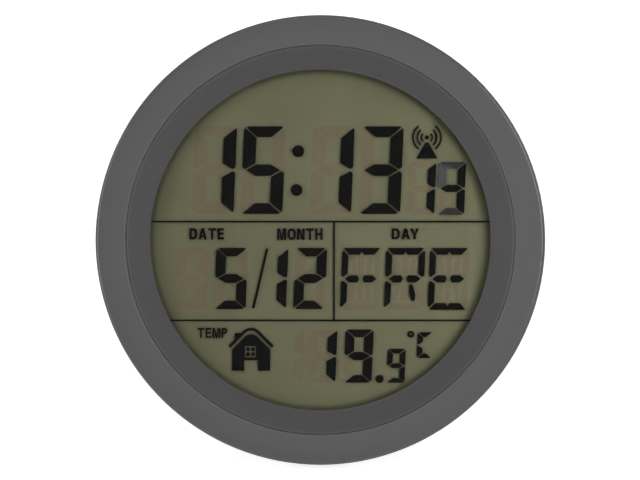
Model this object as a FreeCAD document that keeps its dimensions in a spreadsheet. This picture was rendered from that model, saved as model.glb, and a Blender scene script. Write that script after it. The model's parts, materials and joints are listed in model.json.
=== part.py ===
import FreeCAD, Part
import math
import os

import Sketcher
from FreeCAD import Placement, Rotation, Vector

# A round radio-controlled bathroom clock that leans back on its rim and a fold-out stand.
# Every piece is drawn in the frame of the face: x to the right, z up along the face and y
# backwards from the front of the trim ring, with the origin at the middle of the face. One
# placement then leans all of them back, so that the rim and the foot stand on z = 0.

# Driving sizes, in millimetres and degrees
SIZES = {
    # the whole clock
    "lean_angle": 12.0,
    "window_radius": 64.4,
    "rim_draft": 0.2,
    "rim_stop": 1.0,
    "thread_clearance": 0.05,
    # trim ring, measured as depths behind the front of the clock
    "ring_width": 11.2,
    "ring_inner_round": 0.35,
    "ring_crown_start": 0.25,
    "ring_crown_end": 0.85,
    "ring_crown_radius": 60.0,
    "ring_corner": 1.35,
    "ring_skirt": 1.8,
    "ring_seat": 2.6,
    # front housing
    "groove_width": 0.12,
    "bezel_start": 0.7,
    "bezel_round": 0.35,
    "bezel_slope": 26.0,
    "bezel_lip": 0.75,
    "bezel_lip_bevel": 0.2,
    "window_depth": 7.2,
    "flange_thickness": 2.0,
    "front_skirt": 2.0,
    "skirt_gap": 0.9,
    "ring_clearance": 0.2,
    "pocket_wall": 1.8,
    "boss_radius": 3.4,
    "boss_gap": 0.5,
    # window
    "lens_overlap": 2.6,
    "lens_thickness": 1.5,
    "lens_clearance": 0.3,
    "lens_bevel": 0.2,
    "lens_gasket_thickness": 0.2,
    # display
    "display_gap": 0.4,
    "film_thickness": 0.2,
    "film_margin": 0.6,
    "glass_thickness": 1.1,
    "layer_gap": 0.02,
    "segment_thickness": 0.04,
    "glass_margin": 1.0,
    "ledge_width": 3.8,
    "glass_clearance": 0.3,
    "holder_wall": 1.5,
    "holder_floor": 0.96,
    "holder_lip_width": 5.4,
    "tongue_wall": 3.7,
    "zebra_margin": 2.3,
    "zebra_thickness": 2.0,
    "zebra_clearance": 0.3,
    # circuit board and what is on it
    "board_thickness": 1.0,
    "board_margin": 0.2,
    "board_screw_offset": 4.6,
    "board_boss_radius": 2.5,
    "board_screw_radius": 1.0,
    "board_screw_head_radius": 2.1,
    "board_screw_head_height": 1.4,
    "board_screw_length": 7.6,
    "board_hole_clearance": 0.2,
    "chip_radius": 6.0,
    "chip_height": 1.8,
    "crystal_radius": 1.0,
    "crystal_length": 6.0,
    "thermistor_radius": 1.3,
    "thermistor_height": 2.6,
    "receiver_width": 16.0,
    "receiver_height": 10.0,
    "receiver_thickness": 0.8,
    "receiver_chip_size": 4.0,
    "receiver_chip_height": 1.0,
    "receiver_gap": 3.0,
    # antenna
    "antenna_rise": 16.0,
    "antenna_height": 5.6,
    "ferrite_radius": 3.0,
    "ferrite_length": 52.0,
    "coil_radius": 4.1,
    "coil_length": 26.0,
    "coil_clearance": 0.05,
    "cradle_base": 1.0,
    "cradle_width": 4.0,
    "cradle_half_height": 5.0,
    "cradle_span": 48.0,
    "lead_radius": 0.25,
    # rear housing
    "rear_gap": 0.3,
    "rear_step": 0.4,
    "rear_wall": 2.2,
    "shell_taper": 10.0,
    "shoulder": 3.0,
    "seal_thickness": 0.9,
    "seal_land_width": 3.0,
    "seal_margin": 0.5,
    # housing screws
    "screw_radius": 1.5,
    "screw_head_radius": 2.8,
    "screw_head_height": 2.0,
    "screw_length": 9.0,
    "screw_floor": 2.0,
    "screw_well_radius": 3.2,
    "column_wall": 1.4,
    # battery compartment and door
    "door_side_margin": 3.6,
    "door_end_margin": 7.85,
    "door_thickness": 2.0,
    "door_clearance": 0.2,
    "tray_depth": 2.8,
    "tray_wall": 2.0,
    "cell_radius": 5.25,
    "cell_length": 44.5,
    "nub_radius": 1.9,
    "nub_length": 0.9,
    "cell_spacing": 11.2,
    "cell_clearance": 0.3,
    "compartment_gap": 0.6,
    "compartment_wall": 1.6,
    "compartment_floor": 1.2,
    "contact_thickness": 0.4,
    "contact_width": 8.6,
    "rib_gap": 1.4,
    "rib_clearance": 0.3,
    "spring_length": 5.5,
    "spring_wire": 0.3,
    "spring_radius": 3.2,
    "spring_pitch": 1.25,
    "spring_taper": 0.16,
    "door_gasket_width": 1.1,
    "door_screw_inset": 5.0,
    "door_screw_margin": 3.2,
    "door_screw_radius": 1.2,
    "door_screw_head_radius": 2.2,
    "door_screw_head_height": 1.1,
    "door_screw_length": 6.4,
    "door_foot_radius": 2.4,
    "door_boss_height": 6.7,
    "door_boss_floor": 1.1,
    # buttons and their silicone keys
    "button_gap": 7.0,
    "button_pitch": 14.0,
    "button_radius": 3.5,
    "button_clearance": 0.15,
    "button_stand": 1.0,
    "button_edge": 0.4,
    "button_flange_radius": 4.4,
    "button_flange_thickness": 1.0,
    "button_play": 0.2,
    "button_stem_radius": 2.2,
    "button_travel": 0.9,
    "guide_depth": 6.0,
    "guide_wall": 1.6,
    "key_height": 4.0,
    "key_radius": 3.3,
    "key_pill_radius": 2.0,
    "key_pill_thickness": 1.0,
    "key_pill_gap": 0.1,
    "key_hole_radius": 4.9,
    "key_sheet": 1.0,
    "key_web": 0.4,
    "key_mat_margin": 8.0,
    "key_mat_half_height": 7.5,
    # hanging hole
    "keyhole_margin": 14.4,
    "keyhole_drop": 12.0,
    "keyhole_radius": 4.5,
    "keyhole_slot_width": 4.4,
    "keyhole_slot_length": 6.5,
    "keyhole_cavity_half_width": 6.6,
    "keyhole_cavity_depth": 4.2,
    "keyhole_cavity_wall": 1.6,
    # suction cups
    "cup_gap": 2.0,
    "cup_drop": 39.4,
    "cup_radius": 15.0,
    "cup_reach": 13.0,
    "cup_neck_radius": 3.2,
    "cup_collar_radius": 5.6,
    "cup_collar_thickness": 1.2,
    "cup_stem_radius": 2.4,
    "cup_head_radius": 3.6,
    "cup_head_thickness": 1.8,
    "cup_clearance": 0.1,
    "cup_hollow": 3.4,
    "cup_lip": 0.7,
    "socket_wall": 1.6,
    # stand
    "stand_angle": 104.0,
    "stand_axis_margin": 11.4,
    "stand_axis_inset": 2.6,
    "stand_half_width": 28.0,
    "stand_thickness": 3.0,
    "stand_face_offset": 2.3,
    "stand_corner": 6.0,
    "stand_barrel_radius": 2.5,
    "stand_side_gap": 0.6,
    "stand_floor_gap": 0.3,
    "stand_end_gap": 0.5,
    "stand_stop_gap": 0.25,
    "stand_panel_depth": 0.8,
    "stand_panel_margin": 5.0,
    "axle_radius": 1.5,
    "axle_length": 2.4,
    "axle_clearance": 0.08,
    "axle_end_gap": 0.4,
    "ear_wall": 1.2,
    "ear_half_height": 4.2,
    "recess_wall": 2.0,
    "finger_notch_radius": 7.0,
    # figures and lines of the display, seen from the front, for a window of this radius
    "artwork_radius": 64.4,
    "figure_slant": 0.042,
    "time_top": 43.0,
    "time_height": 33.15,
    "time_width": 15.85,
    "time_upright": 4.9,
    "time_bar": 4.1,
    "hour_tens_left": -48.0,
    "hour_ones_left": -29.55,
    "minute_tens_left": -3.53,
    "minute_ones_left": 15.05,
    "colon_x": -8.7,
    "colon_radius": 2.25,
    "colon_upper": 33.6,
    "colon_lower": 18.9,
    "seconds_top": 29.5,
    "seconds_height": 20.0,
    "seconds_width": 10.4,
    "seconds_upright": 3.05,
    "seconds_bar": 2.6,
    "seconds_tens_left": 33.1,
    "seconds_ones_left": 44.4,
    "date_top": -3.0,
    "date_height": 23.15,
    "date_width": 12.0,
    "date_upright": 3.8,
    "date_bar": 3.2,
    "date_tens_left": -54.7,
    "date_ones_left": -39.8,
    "month_tens_left": -24.55,
    "month_ones_left": -9.85,
    "slash_x": -22.77,
    "slash_height": 22.6,
    "slash_lean": 5.3,
    "slash_width": 0.97,
    "day_top": -3.0,
    "day_height": 23.45,
    "day_width": 14.88,
    "day_upright": 2.4,
    "day_bar": 2.6,
    "day_notch": 0.85,
    "day_middle_gap": 1.15,
    "day_left": 7.85,
    "day_pitch": 16.6,
    "warmth_top": -33.87,
    "warmth_height": 20.13,
    "warmth_width": 10.68,
    "warmth_upright": 3.55,
    "warmth_bar": 2.9,
    "warmth_hundreds_left": -17.28,
    "warmth_tens_left": -4.6,
    "warmth_ones_left": 9.13,
    "tenths_top": -41.2,
    "tenths_height": 12.85,
    "tenths_width": 6.85,
    "tenths_upright": 2.1,
    "tenths_bar": 1.8,
    "tenths_left": 25.23,
    "point_x": 22.38,
    "point_z": -52.6,
    "point_radius": 1.54,
    "degree_x": 34.25,
    "degree_z": -35.7,
    "degree_radius": 1.3,
    "degree_hole_radius": 0.52,
    "unit_top": -34.9,
    "unit_height": 9.8,
    "unit_width": 5.7,
    "unit_left": 36.65,
    "segment_gap": 0.55,
    "line_width": 0.65,
    "upper_line": 6.92,
    "lower_line": -30.44,
    "middle_line": 5.2,
    "line_reach": 64.9,
    "mast_x": 40.35,
    "mast_dot_z": 38.8,
    "mast_dot_radius": 0.8,
    "mast_top": 36.9,
    "mast_foot": 30.8,
    "mast_half_width": 4.05,
    "wave_pitch": 1.66,
    "wave_first_radius": 2.0,
    "wave_width": 0.7,
    "house_x": -26.2,
    "house_ridge": -31.4,
    "house_ridge_radius": 4.4,
    "roof_half_width": 8.6,
    "roof_angle": 45.2,
    "roof_width": 1.06,
    "roof_gap": 0.94,
    "house_half_width": 7.2,
    "house_foot": -49.5,
    "chimney_left": 6.3,
    "chimney_right": 3.2,
    "chimney_top": -35.2,
    "house_door_left": -2.6,
    "house_door_right": 2.6,
    "house_door_height": 4.0,
    "house_pane": 1.36,
    "house_pane_bar": 0.5,
    "house_window_x": -0.25,
    "house_window_z": -42.3,
}

doc = FreeCAD.newDocument("BathroomClock")
sheet = doc.addObject("Spreadsheet::Sheet", "Sizes")
for row, (alias, number) in enumerate(SIZES.items(), start=1):
    sheet.set(f"A{row}", alias)
    sheet.set(f"B{row}", str(number))
    sheet.setAlias(f"B{row}", alias)
doc.recompute()


class Size:
    """A length or angle that also knows the sheet expression that gives it."""

    def __init__(self, value, text):
        self.value = value
        self.text = text

    def __add__(self, other):
        other = sized(other)
        return Size(self.value + other.value, f"({self.text} + {other.text})")

    def __sub__(self, other):
        other = sized(other)
        return Size(self.value - other.value, f"({self.text} - {other.text})")

    def __mul__(self, other):
        other = sized(other)
        return Size(self.value * other.value, f"({self.text} * {other.text})")

    def __truediv__(self, other):
        other = sized(other)
        return Size(self.value / other.value, f"({self.text} / {other.text})")

    def __radd__(self, other):
        return sized(other) + self

    def __rsub__(self, other):
        return sized(other) - self

    def __rmul__(self, other):
        return sized(other) * self

    def __neg__(self):
        return Size(-self.value, f"(0 - {self.text})")


def sized(number):
    """The number as a Size."""
    return number if isinstance(number, Size) else Size(float(number), repr(float(number)))


def sine(angle):
    return Size(math.sin(math.radians(angle.value)), f"sin({angle.text})")


def cosine(angle):
    return Size(math.cos(math.radians(angle.value)), f"cos({angle.text})")


class Sheet:
    """Gives each cell of the sheet by its alias, as a Size."""

    def __getattr__(self, alias):
        return Size(float(getattr(sheet, alias)), f"Sizes.{alias}")


S = Sheet()

# Patterns, and depths, radii and places that several pieces share
SCREW_ANGLES = [0, 60, 120, 180, 240, 300]
BOARD_SCREW_ANGLES = [45, 135, 225, 315]
BUTTON_STEPS = [-1.5, -0.5, 0.5, 1.5]
CUP_SIDES = [(-1, 1), (1, 1), (-1, -1), (1, -1)]
OCTAGON_SIDE = math.tan(math.pi / 8)
OCTAGON_FLAT = math.cos(math.pi / 8)

# Depths from the front to the back
flange_rear = S.ring_seat + S.flange_thickness
lens_front = S.window_depth + S.lens_gasket_thickness
lens_rear = lens_front + S.lens_thickness
display_front = lens_rear + S.display_gap
front_glass_front = display_front + S.film_thickness + S.layer_gap
front_glass_rear = front_glass_front + S.glass_thickness
segment_front = front_glass_rear + S.layer_gap
segment_rear = segment_front + S.segment_thickness
rear_glass_front = segment_rear + S.layer_gap
rear_glass_rear = rear_glass_front + S.glass_thickness
reflector_front = rear_glass_rear + S.layer_gap
reflector_rear = reflector_front + S.film_thickness
holder_lip = reflector_rear + S.layer_gap
board_front = holder_lip + S.holder_floor
board_rear = board_front + S.board_thickness
front_skirt_end = board_front
rim_depth = front_skirt_end - S.rim_stop
seal_land = front_skirt_end + S.seal_thickness
screw_seat = board_rear + S.screw_floor
compartment_bottom = board_rear + S.compartment_gap + S.compartment_floor
cell_axis_depth = compartment_bottom + S.cell_clearance + S.cell_radius
cell_top = cell_axis_depth + S.cell_radius
door_front = cell_top + S.rib_gap
clock_depth = door_front + S.door_thickness
back_inside = clock_depth - S.rear_wall
tray_floor = clock_depth - S.tray_depth
antenna_depth = board_rear + S.antenna_height

# Radii from the window to the rim and from there to the back
lens_radius = S.window_radius + S.lens_overlap
pocket_radius = lens_radius + S.lens_clearance
glass_half_width = S.window_radius + S.glass_margin
holder_radius = (glass_half_width + S.glass_clearance) / OCTAGON_FLAT + S.holder_wall
holder_hole_radius = glass_half_width - S.holder_lip_width
board_radius = holder_radius - S.board_margin
board_screw_circle = glass_half_width + S.board_screw_offset
screw_circle = holder_radius + S.boss_gap + S.boss_radius
skirt_inside = screw_circle + S.boss_radius + S.skirt_gap
skirt_radius = skirt_inside + S.front_skirt
rim_rear_radius = skirt_radius + S.ring_clearance + S.ring_skirt
rim_radius = rim_rear_radius + S.rim_draft
ring_inner_radius = rim_radius - S.ring_width
bezel_radius = ring_inner_radius - S.groove_width
slope_start_radius = bezel_radius - S.bezel_round - S.bezel_round * sine(S.bezel_slope)
lip_radius = S.window_radius + S.bezel_lip_bevel + S.bezel_lip
rear_radius = rim_rear_radius - S.rear_step
slope_end_radius = rear_radius - S.shell_taper
back_radius = slope_end_radius - S.shoulder

# Display glass: its lower ledge carries the contacts of the zebra strip
ledge_level = -(glass_half_width + S.ledge_width)
ledge_half_length = glass_half_width * OCTAGON_SIDE - S.ledge_width
zebra_level = -(glass_half_width + S.ledge_width / 2)
zebra_half_length = ledge_half_length - S.zebra_margin
tongue_half_width = ledge_half_length + S.tongue_wall
tongue_end = -ledge_level + S.tongue_wall

# Battery compartment and its door
compartment_half_height = S.cell_spacing / 2 + S.cell_radius + S.cell_clearance
contact_inside = (S.cell_length + S.spring_length) / 2
compartment_half_length = contact_inside + S.contact_thickness
door_half_width = compartment_half_length + S.door_side_margin
door_half_height = compartment_half_height + S.door_end_margin

# Places on the back, from the top to the bottom
keyhole_level = back_radius - S.keyhole_margin
button_level = keyhole_level - S.keyhole_drop
door_middle = button_level - S.button_gap - door_half_height
cup_x = door_half_width + S.cup_gap + S.cup_radius
cup_z = back_radius - S.cup_drop
stand_axis_level = -(back_radius - S.stand_axis_margin)
stand_axis_depth = clock_depth - S.stand_axis_inset
antenna_level = stand_axis_level + S.antenna_rise

# Buttons, suction cups and stand
key_top = board_rear + S.key_height
pill_front = board_rear + S.button_travel + S.key_pill_gap
guide_front = clock_depth - S.guide_depth
button_flange_rear = guide_front - S.button_play
cup_lip_depth = clock_depth + S.cup_reach
stand_inner_offset = S.stand_face_offset - S.stand_thickness
stand_middle_offset = S.stand_face_offset - S.stand_thickness / 2
foot_radius = S.stand_thickness / 2
leaf_floor = stand_axis_depth + stand_inner_offset - S.stand_floor_gap
barrel_floor = stand_axis_depth - S.stand_barrel_radius - S.stand_floor_gap
recess_half_width = S.stand_half_width + S.stand_side_gap
ear_half_width = recess_half_width + S.axle_length + S.axle_end_gap + S.ear_wall

# The clock stands on the rear edge of its rim, so the middle of the face is this high
standing_height = rim_rear_radius * cosine(S.lean_angle) + rim_depth * sine(S.lean_angle)

# The leaf is as long as its foot needs to reach the table when it is open
foot_angle = S.stand_angle + S.lean_angle
axis_height = (
    standing_height
    + stand_axis_level * cosine(S.lean_angle)
    - stand_axis_depth * sine(S.lean_angle)
)
leaf_length = (foot_radius + stand_middle_offset * sine(foot_angle) - axis_height) / cosine(foot_angle)
leaf_end_level = stand_axis_level + leaf_length + foot_radius

# Open, the outer side of the leaf leans on the lower edge of its recess
stop_level = (
    stand_axis_level
    + (clock_depth - stand_axis_depth - S.stand_face_offset * cosine(S.stand_angle))
    * cosine(S.stand_angle)
    / sine(S.stand_angle)
    - S.stand_face_offset * sine(S.stand_angle)
)
recess_foot = stop_level - S.stand_stop_gap
recess_top = leaf_end_level + S.stand_end_gap

# The origin lies under the middle of the whole clock, from its rim to the foot of the stand
ring_corner_level = -(rim_radius - S.ring_corner)
rim_reach = (
    (S.ring_crown_end + S.ring_corner) * cosine(S.lean_angle)
    + ring_corner_level * sine(S.lean_angle)
    - S.ring_corner
)
foot_depth = (
    stand_axis_depth
    + leaf_length * sine(S.stand_angle)
    + stand_middle_offset * cosine(S.stand_angle)
)
foot_level = (
    stand_axis_level
    + leaf_length * cosine(S.stand_angle)
    - stand_middle_offset * sine(S.stand_angle)
)
foot_reach = foot_depth * cosine(S.lean_angle) + foot_level * sine(S.lean_angle) + foot_radius
to_middle = -(rim_reach + foot_reach) / 2

LEAN = Placement(
    Vector(0, to_middle.value, standing_height.value),
    Rotation(Vector(1, 0, 0), -S.lean_angle.value),
)


def around(radius, angle):
    """The point at this radius and angle about the middle of the face, as x and z."""
    turn = math.radians(angle)
    return radius * round(math.cos(turn), 12), radius * round(math.sin(turn), 12)


def hold_point(sketch, edge, end, x, y):
    """Tie one end of an edge, or a circle's centre, to its place."""
    for axis, line, place in (("DistanceX", -2, x), ("DistanceY", -1, y)):
        place = sized(place)
        if place.value == 0:
            sketch.addConstraint(Sketcher.Constraint("PointOnObject", edge, end, line))
            continue
        number = sketch.addConstraint(Sketcher.Constraint(axis, -1, 1, edge, end, place.value))
        sketch.setExpression(f"Constraints[{number}]", place.text)


def arc_between(start, end, radius):
    """The shorter arc of this radius; a negative radius bulges to the other side."""
    middle = (start + end) * 0.5
    chord = end - start
    side = Vector(-chord.y, chord.x, 0).normalize()
    rise = math.sqrt(radius**2 - (chord.Length / 2) ** 2)
    centre = middle + side * math.copysign(rise, radius)
    top = centre - side * radius
    return Part.Arc(start, top, end)


def draw_outline(sketch, corners):
    """Draw a closed outline. A corner is (x, y), or (x, y, radius) where an arc leads to it."""
    first = sketch.GeometryCount
    count = len(corners)
    ends = []
    for number, corner in enumerate(corners):
        before = corners[number - 1]
        start = Vector(sized(before[0]).value, sized(before[1]).value, 0)
        end = Vector(sized(corner[0]).value, sized(corner[1]).value, 0)
        if len(corner) == 2:
            edge = sketch.addGeometry(Part.LineSegment(start, end))
            ends.append((edge, 1, 2))
            continue
        radius = corner[2]
        edge = sketch.addGeometry(arc_between(start, end, radius.value))
        starts_first = (sketch.Geometry[edge].StartPoint - start).Length < 1e-6
        ends.append((edge, 1, 2) if starts_first else (edge, 2, 1))
        held = sketch.addConstraint(Sketcher.Constraint("Radius", edge, abs(radius.value)))
        sketch.setExpression(f"Constraints[{held}]", f"abs({radius.text})")
    for number, corner in enumerate(corners):
        edge, _, last = ends[number]
        following, start, _ = ends[(number + 1) % count]
        sketch.addConstraint(Sketcher.Constraint("Coincident", edge, last, following, start))
        hold_point(sketch, edge, last, corner[0], corner[1])
    return first


def draw_circle(sketch, x, y, radius):
    centre = Vector(sized(x).value, sized(y).value, 0)
    edge = sketch.addGeometry(Part.Circle(centre, Vector(0, 0, 1), radius.value))
    hold_point(sketch, edge, 3, x, y)
    held = sketch.addConstraint(Sketcher.Constraint("Radius", edge, radius.value))
    sketch.setExpression(f"Constraints[{held}]", radius.text)


def box_outline(left, right, low, high):
    """A rectangle between two x and two z values."""
    return [(left, low), (right, low), (right, high), (left, high)]


def wide_box(half_width, low, high):
    """A rectangle that is even about the middle plane."""
    return box_outline(-half_width, half_width, low, high)


class Piece:
    """A body that is built up from sketches in the frame of the face."""

    def __init__(self, label):
        self.label = label
        self.body = doc.addObject("PartDesign::Body", label)
        self.body.Label = label
        self.steps = 0

    def new(self, kind, name):
        self.steps += 1
        return self.body.newObject(kind, f"{self.label}_{name}_{self.steps}")

    def sketch(self, role, offset=None):
        sketch = self.new("Sketcher::SketchObject", "sketch")
        plane = next(f for f in self.body.Origin.OriginFeatures if f.Role == role)
        sketch.AttachmentSupport = [(plane, "")]
        sketch.MapMode = "FlatFace"
        if offset is not None:
            sketch.AttachmentOffset = Placement(Vector(0, 0, offset.value), Rotation())
            sketch.setExpression("AttachmentOffset.Base.z", offset.text)
        return sketch

    def fill(self, sketch, shapes):
        for shape in shapes:
            if shape[0] == "circle":
                draw_circle(sketch, *shape[1:])
            else:
                draw_outline(sketch, shape)
        return sketch

    def turn(self, outline, kind="PartDesign::Revolution"):
        """Turn an outline of radii and depths about the y axis."""
        sketch = self.sketch("XY_Plane")
        draw_outline(sketch, outline)
        feature = self.new(kind, "turn")
        feature.Profile = sketch
        feature.ReferenceAxis = (sketch, ["V_Axis"])
        feature.Angle = 360
        return self

    def cut_round(self, outline):
        return self.turn(outline, "PartDesign::Groove")

    def raise_between(self, front, rear, *shapes):
        """Add shapes of the face, from one depth to a deeper one."""
        sketch = self.fill(self.sketch("XZ_Plane", -front), shapes)
        pad = self.new("PartDesign::Pad", "pad")
        pad.Profile = sketch
        pad.Reversed = True
        pad.Length = (rear - front).value
        pad.setExpression("Length", (rear - front).text)
        return self

    def cut_between(self, front, rear, *shapes):
        """Take shapes of the face away, from one depth to a deeper one."""
        sketch = self.fill(self.sketch("XZ_Plane", -front), shapes)
        pocket = self.new("PartDesign::Pocket", "pocket")
        pocket.Profile = sketch
        pocket.Length = (rear - front).value
        pocket.setExpression("Length", (rear - front).text)
        return self

    def raise_across(self, half_width, *shapes):
        """Add shapes of the side view, evenly to both sides of the middle plane."""
        sketch = self.fill(self.sketch("YZ_Plane", -half_width), shapes)
        pad = self.new("PartDesign::Pad", "pad")
        pad.Profile = sketch
        pad.Length = (2 * half_width).value
        pad.setExpression("Length", (2 * half_width).text)
        return self

    def cut_across(self, half_width, *shapes):
        """Take shapes of the side view away, evenly to both sides of the middle plane."""
        sketch = self.fill(self.sketch("YZ_Plane", half_width), shapes)
        pocket = self.new("PartDesign::Pocket", "pocket")
        pocket.Profile = sketch
        pocket.Length = (2 * half_width).value
        pocket.setExpression("Length", (2 * half_width).text)
        return self

    def move(self, x=0, y=0, z=0):
        """Place the body in the frame of the face, tied to the sheet."""
        self.body.Placement = Placement(
            Vector(sized(x).value, sized(y).value, sized(z).value), Rotation()
        )
        for axis, place in (("x", x), ("y", y), ("z", z)):
            self.body.setExpression(f".Placement.Base.{axis}", sized(place).text)
        return self


finished = {}


def finish(label, item, placement=LEAN):
    """Name a sub-part and lean it back with the others."""
    item.Label = label
    item.Placement = placement
    finished[label] = item


def finish_at(label, piece, x, z):
    """Place one of several equal pieces at its own x and z on the face."""
    there = Placement(Vector(sized(x).value, 0, sized(z).value), Rotation())
    finish(label, piece.body, LEAN.multiply(there))


def finish_group(label, members):
    """Keep equal or related loose solids together as one sub-part."""
    group = doc.addObject("Part::Compound", label)
    group.Links = members
    finish(label, group)


def block(label, x, y, z, width, depth, height):
    """A box given by its lowest corner and its extents along x, y and z."""
    box = doc.addObject("Part::Box", label)
    box.Placement = Placement(Vector(sized(x).value, sized(y).value, sized(z).value), Rotation())
    for name, size in (("Length", width), ("Width", depth), ("Height", height)):
        box.setExpression(name, sized(size).text)
    for axis, place in (("x", x), ("y", y), ("z", z)):
        box.setExpression(f".Placement.Base.{axis}", sized(place).text)
    return box


def add_screw(label, head_radius, head_height, radius, length, seat, x, z):
    """A screw whose head rests on a seat and whose shank points to the front."""
    screw = Piece(label)
    recess = head_radius * 0.45
    screw.turn([
        (0, seat - length),
        (radius * 0.5, seat - length),
        (radius, seat - length + radius * 0.8),
        (radius, seat),
        (head_radius, seat),
        (head_radius, seat + head_height * 0.55),
        (head_radius * 0.8, seat + head_height),
        (recess, seat + head_height),
        (recess * 0.5, seat + head_height * 0.5),
        (0, seat + head_height * 0.5),
    ])
    screw.move(x, 0, z)
    return screw.body


# Trim ring: a softly crowned face and a skirt that covers the front housing
ring = Piece("trim_ring")
ring.turn([
    (ring_inner_radius, S.ring_seat),
    (ring_inner_radius, S.ring_crown_start + S.ring_inner_round),
    (ring_inner_radius + S.ring_inner_round, S.ring_crown_start, S.ring_inner_round),
    (rim_radius - S.ring_corner, S.ring_crown_end, S.ring_crown_radius),
    (rim_radius, S.ring_crown_end + S.ring_corner, S.ring_corner),
    (rim_rear_radius, rim_depth),
    (rim_rear_radius - S.ring_skirt, rim_depth),
    (rim_rear_radius - S.ring_skirt, S.ring_seat),
])
finish("trim_ring", ring.body)

# Front housing: sloped bezel, window pocket, flange and skirt in one moulding
front = Piece("front_housing")
bezel_rise = sine(S.bezel_slope) / cosine(S.bezel_slope)
bezel_end = S.bezel_start + (slope_start_radius - lip_radius) * bezel_rise
pocket_outside = pocket_radius + S.pocket_wall
front.turn([
    (bezel_radius, S.ring_seat),
    (bezel_radius, S.bezel_start + S.bezel_round * cosine(S.bezel_slope)),
    (slope_start_radius, S.bezel_start, -S.bezel_round),
    (lip_radius, bezel_end),
    (lip_radius - S.bezel_lip, bezel_end),
    (S.window_radius, bezel_end + S.bezel_lip_bevel),
    (S.window_radius, S.window_depth),
    (pocket_radius, S.window_depth),
    (pocket_radius, display_front),
    (pocket_outside, display_front),
    (pocket_outside, flange_rear + S.pocket_wall * bezel_rise),
    (pocket_outside + S.pocket_wall, flange_rear),
    (skirt_inside, flange_rear),
    (skirt_inside, front_skirt_end),
    (skirt_radius, front_skirt_end),
    (skirt_radius, S.ring_seat),
])
boss_root = flange_rear - S.flange_thickness / 2
screw_places = [around(screw_circle, angle) for angle in SCREW_ANGLES]
board_screw_places = [around(board_screw_circle, angle) for angle in BOARD_SCREW_ANGLES]
front.raise_between(
    boss_root, board_rear, *[("circle", x, z, S.boss_radius) for x, z in screw_places]
)
front.raise_between(
    flange_rear - S.thread_clearance,
    display_front,
    *[("circle", x, z, S.board_boss_radius) for x, z in board_screw_places],
)
screw_tip = screw_seat - S.screw_length
front.cut_between(
    screw_tip - S.thread_clearance,
    board_rear,
    *[("circle", x, z, S.screw_radius + S.thread_clearance) for x, z in screw_places],
)
board_screw_tip = board_rear - S.board_screw_length
front.cut_between(
    board_screw_tip - S.thread_clearance,
    display_front,
    *[("circle", x, z, S.board_screw_radius + S.thread_clearance) for x, z in board_screw_places],
)
finish("front_housing", front.body)

# Flat window and the adhesive ring that seals it
lens = Piece("window_lens")
lens.turn([
    (0, lens_front),
    (lens_radius - S.lens_bevel, lens_front),
    (lens_radius, lens_front + S.lens_bevel),
    (lens_radius, lens_rear),
    (0, lens_rear),
])
finish("window_lens", lens.body)

gasket = Piece("lens_gasket")
gasket.turn([
    (S.window_radius + S.lens_gasket_thickness, S.window_depth),
    (lens_radius - S.lens_bevel, S.window_depth),
    (lens_radius - S.lens_bevel, lens_front),
    (S.window_radius + S.lens_gasket_thickness, lens_front),
])
finish("lens_gasket", gasket.body)


def glass_outline(half_width, ledge=None):
    """An octagonal display glass; a ledge makes its lower side longer, down to that z."""
    side = half_width * OCTAGON_SIDE
    low = -half_width if ledge is None else ledge
    low_side = side + half_width + low
    return [
        (-low_side, low),
        (low_side, low),
        (half_width, -side),
        (half_width, side),
        (side, half_width),
        (-side, half_width),
        (-half_width, side),
        (-half_width, -side),
    ]


# Display layers, from the front to the back
for label, layer_front, layer_rear, outline in (
    ("lcd_front_polariser", display_front, display_front + S.film_thickness,
     glass_outline(glass_half_width - S.film_margin)),
    ("lcd_front_glass", front_glass_front, front_glass_rear,
     glass_outline(glass_half_width, ledge_level)),
    ("lcd_rear_glass", rear_glass_front, rear_glass_rear, glass_outline(glass_half_width)),
    ("lcd_reflector", reflector_front, reflector_rear,
     glass_outline(glass_half_width - S.film_margin)),
):
    layer = Piece(label)
    layer.raise_between(layer_front, layer_rear, outline)
    finish(label, layer.body)

# Figures of the display. Segments are known by their usual letters: a is the top bar, b and c
# the right uprights, d the bottom bar, e and f the left uprights and g the middle bar. The
# letters of the day have two short middle bars, i and j, and six inner strokes, k to p.
FIGURES = {"1": "bc", "2": "abged", "3": "abgcd", "5": "afgcd", "9": "abgcdf", "C": "afed"}
LETTERS = {"F": "afeij", "R": "abfeijk", "E": "afeijd"}
artwork = (S.window_radius / S.artwork_radius).value
MIDDLE_BAR = 0.53
MIDDLE_TIP = 0.55
NOTCH_RISE = 1.25
LEG = [(0.624, 0.59), (0.708, 0.59), (0.793, 0.755), (0.772, 0.855), (0.693, 0.855), (0.62, 0.705)]
POST = [(0.43, 0.59), (0.57, 0.59), (0.57, 0.84), (0.43, 0.84)]
# How the ends of the uprights are cut, as shares of their width. At the corners: how far the
# outer edge and the tip stop short, and the same for the bars. At mid height: the place, slope
# and gap of the joint, and how far the tip and the outer edge stop short of the middle.
PLAIN_CUTS = {
    "bar": 0.27,
    "corner_edge": 0.27,
    "corner_tip": 0.0675,
    "place": 0.19,
    "slope": 0.587,
    "gap": 1.0,
    "tip": 0.08,
    "edge": 0.23,
}
DAY_CUTS = {
    "bar": 0.27,
    "corner_edge": 0.44,
    "corner_tip": 0.25,
    "place": 0.244,
    "slope": 0.75,
    "gap": 1.6,
    "tip": 0.296,
    "edge": 0.54,
}


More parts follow.
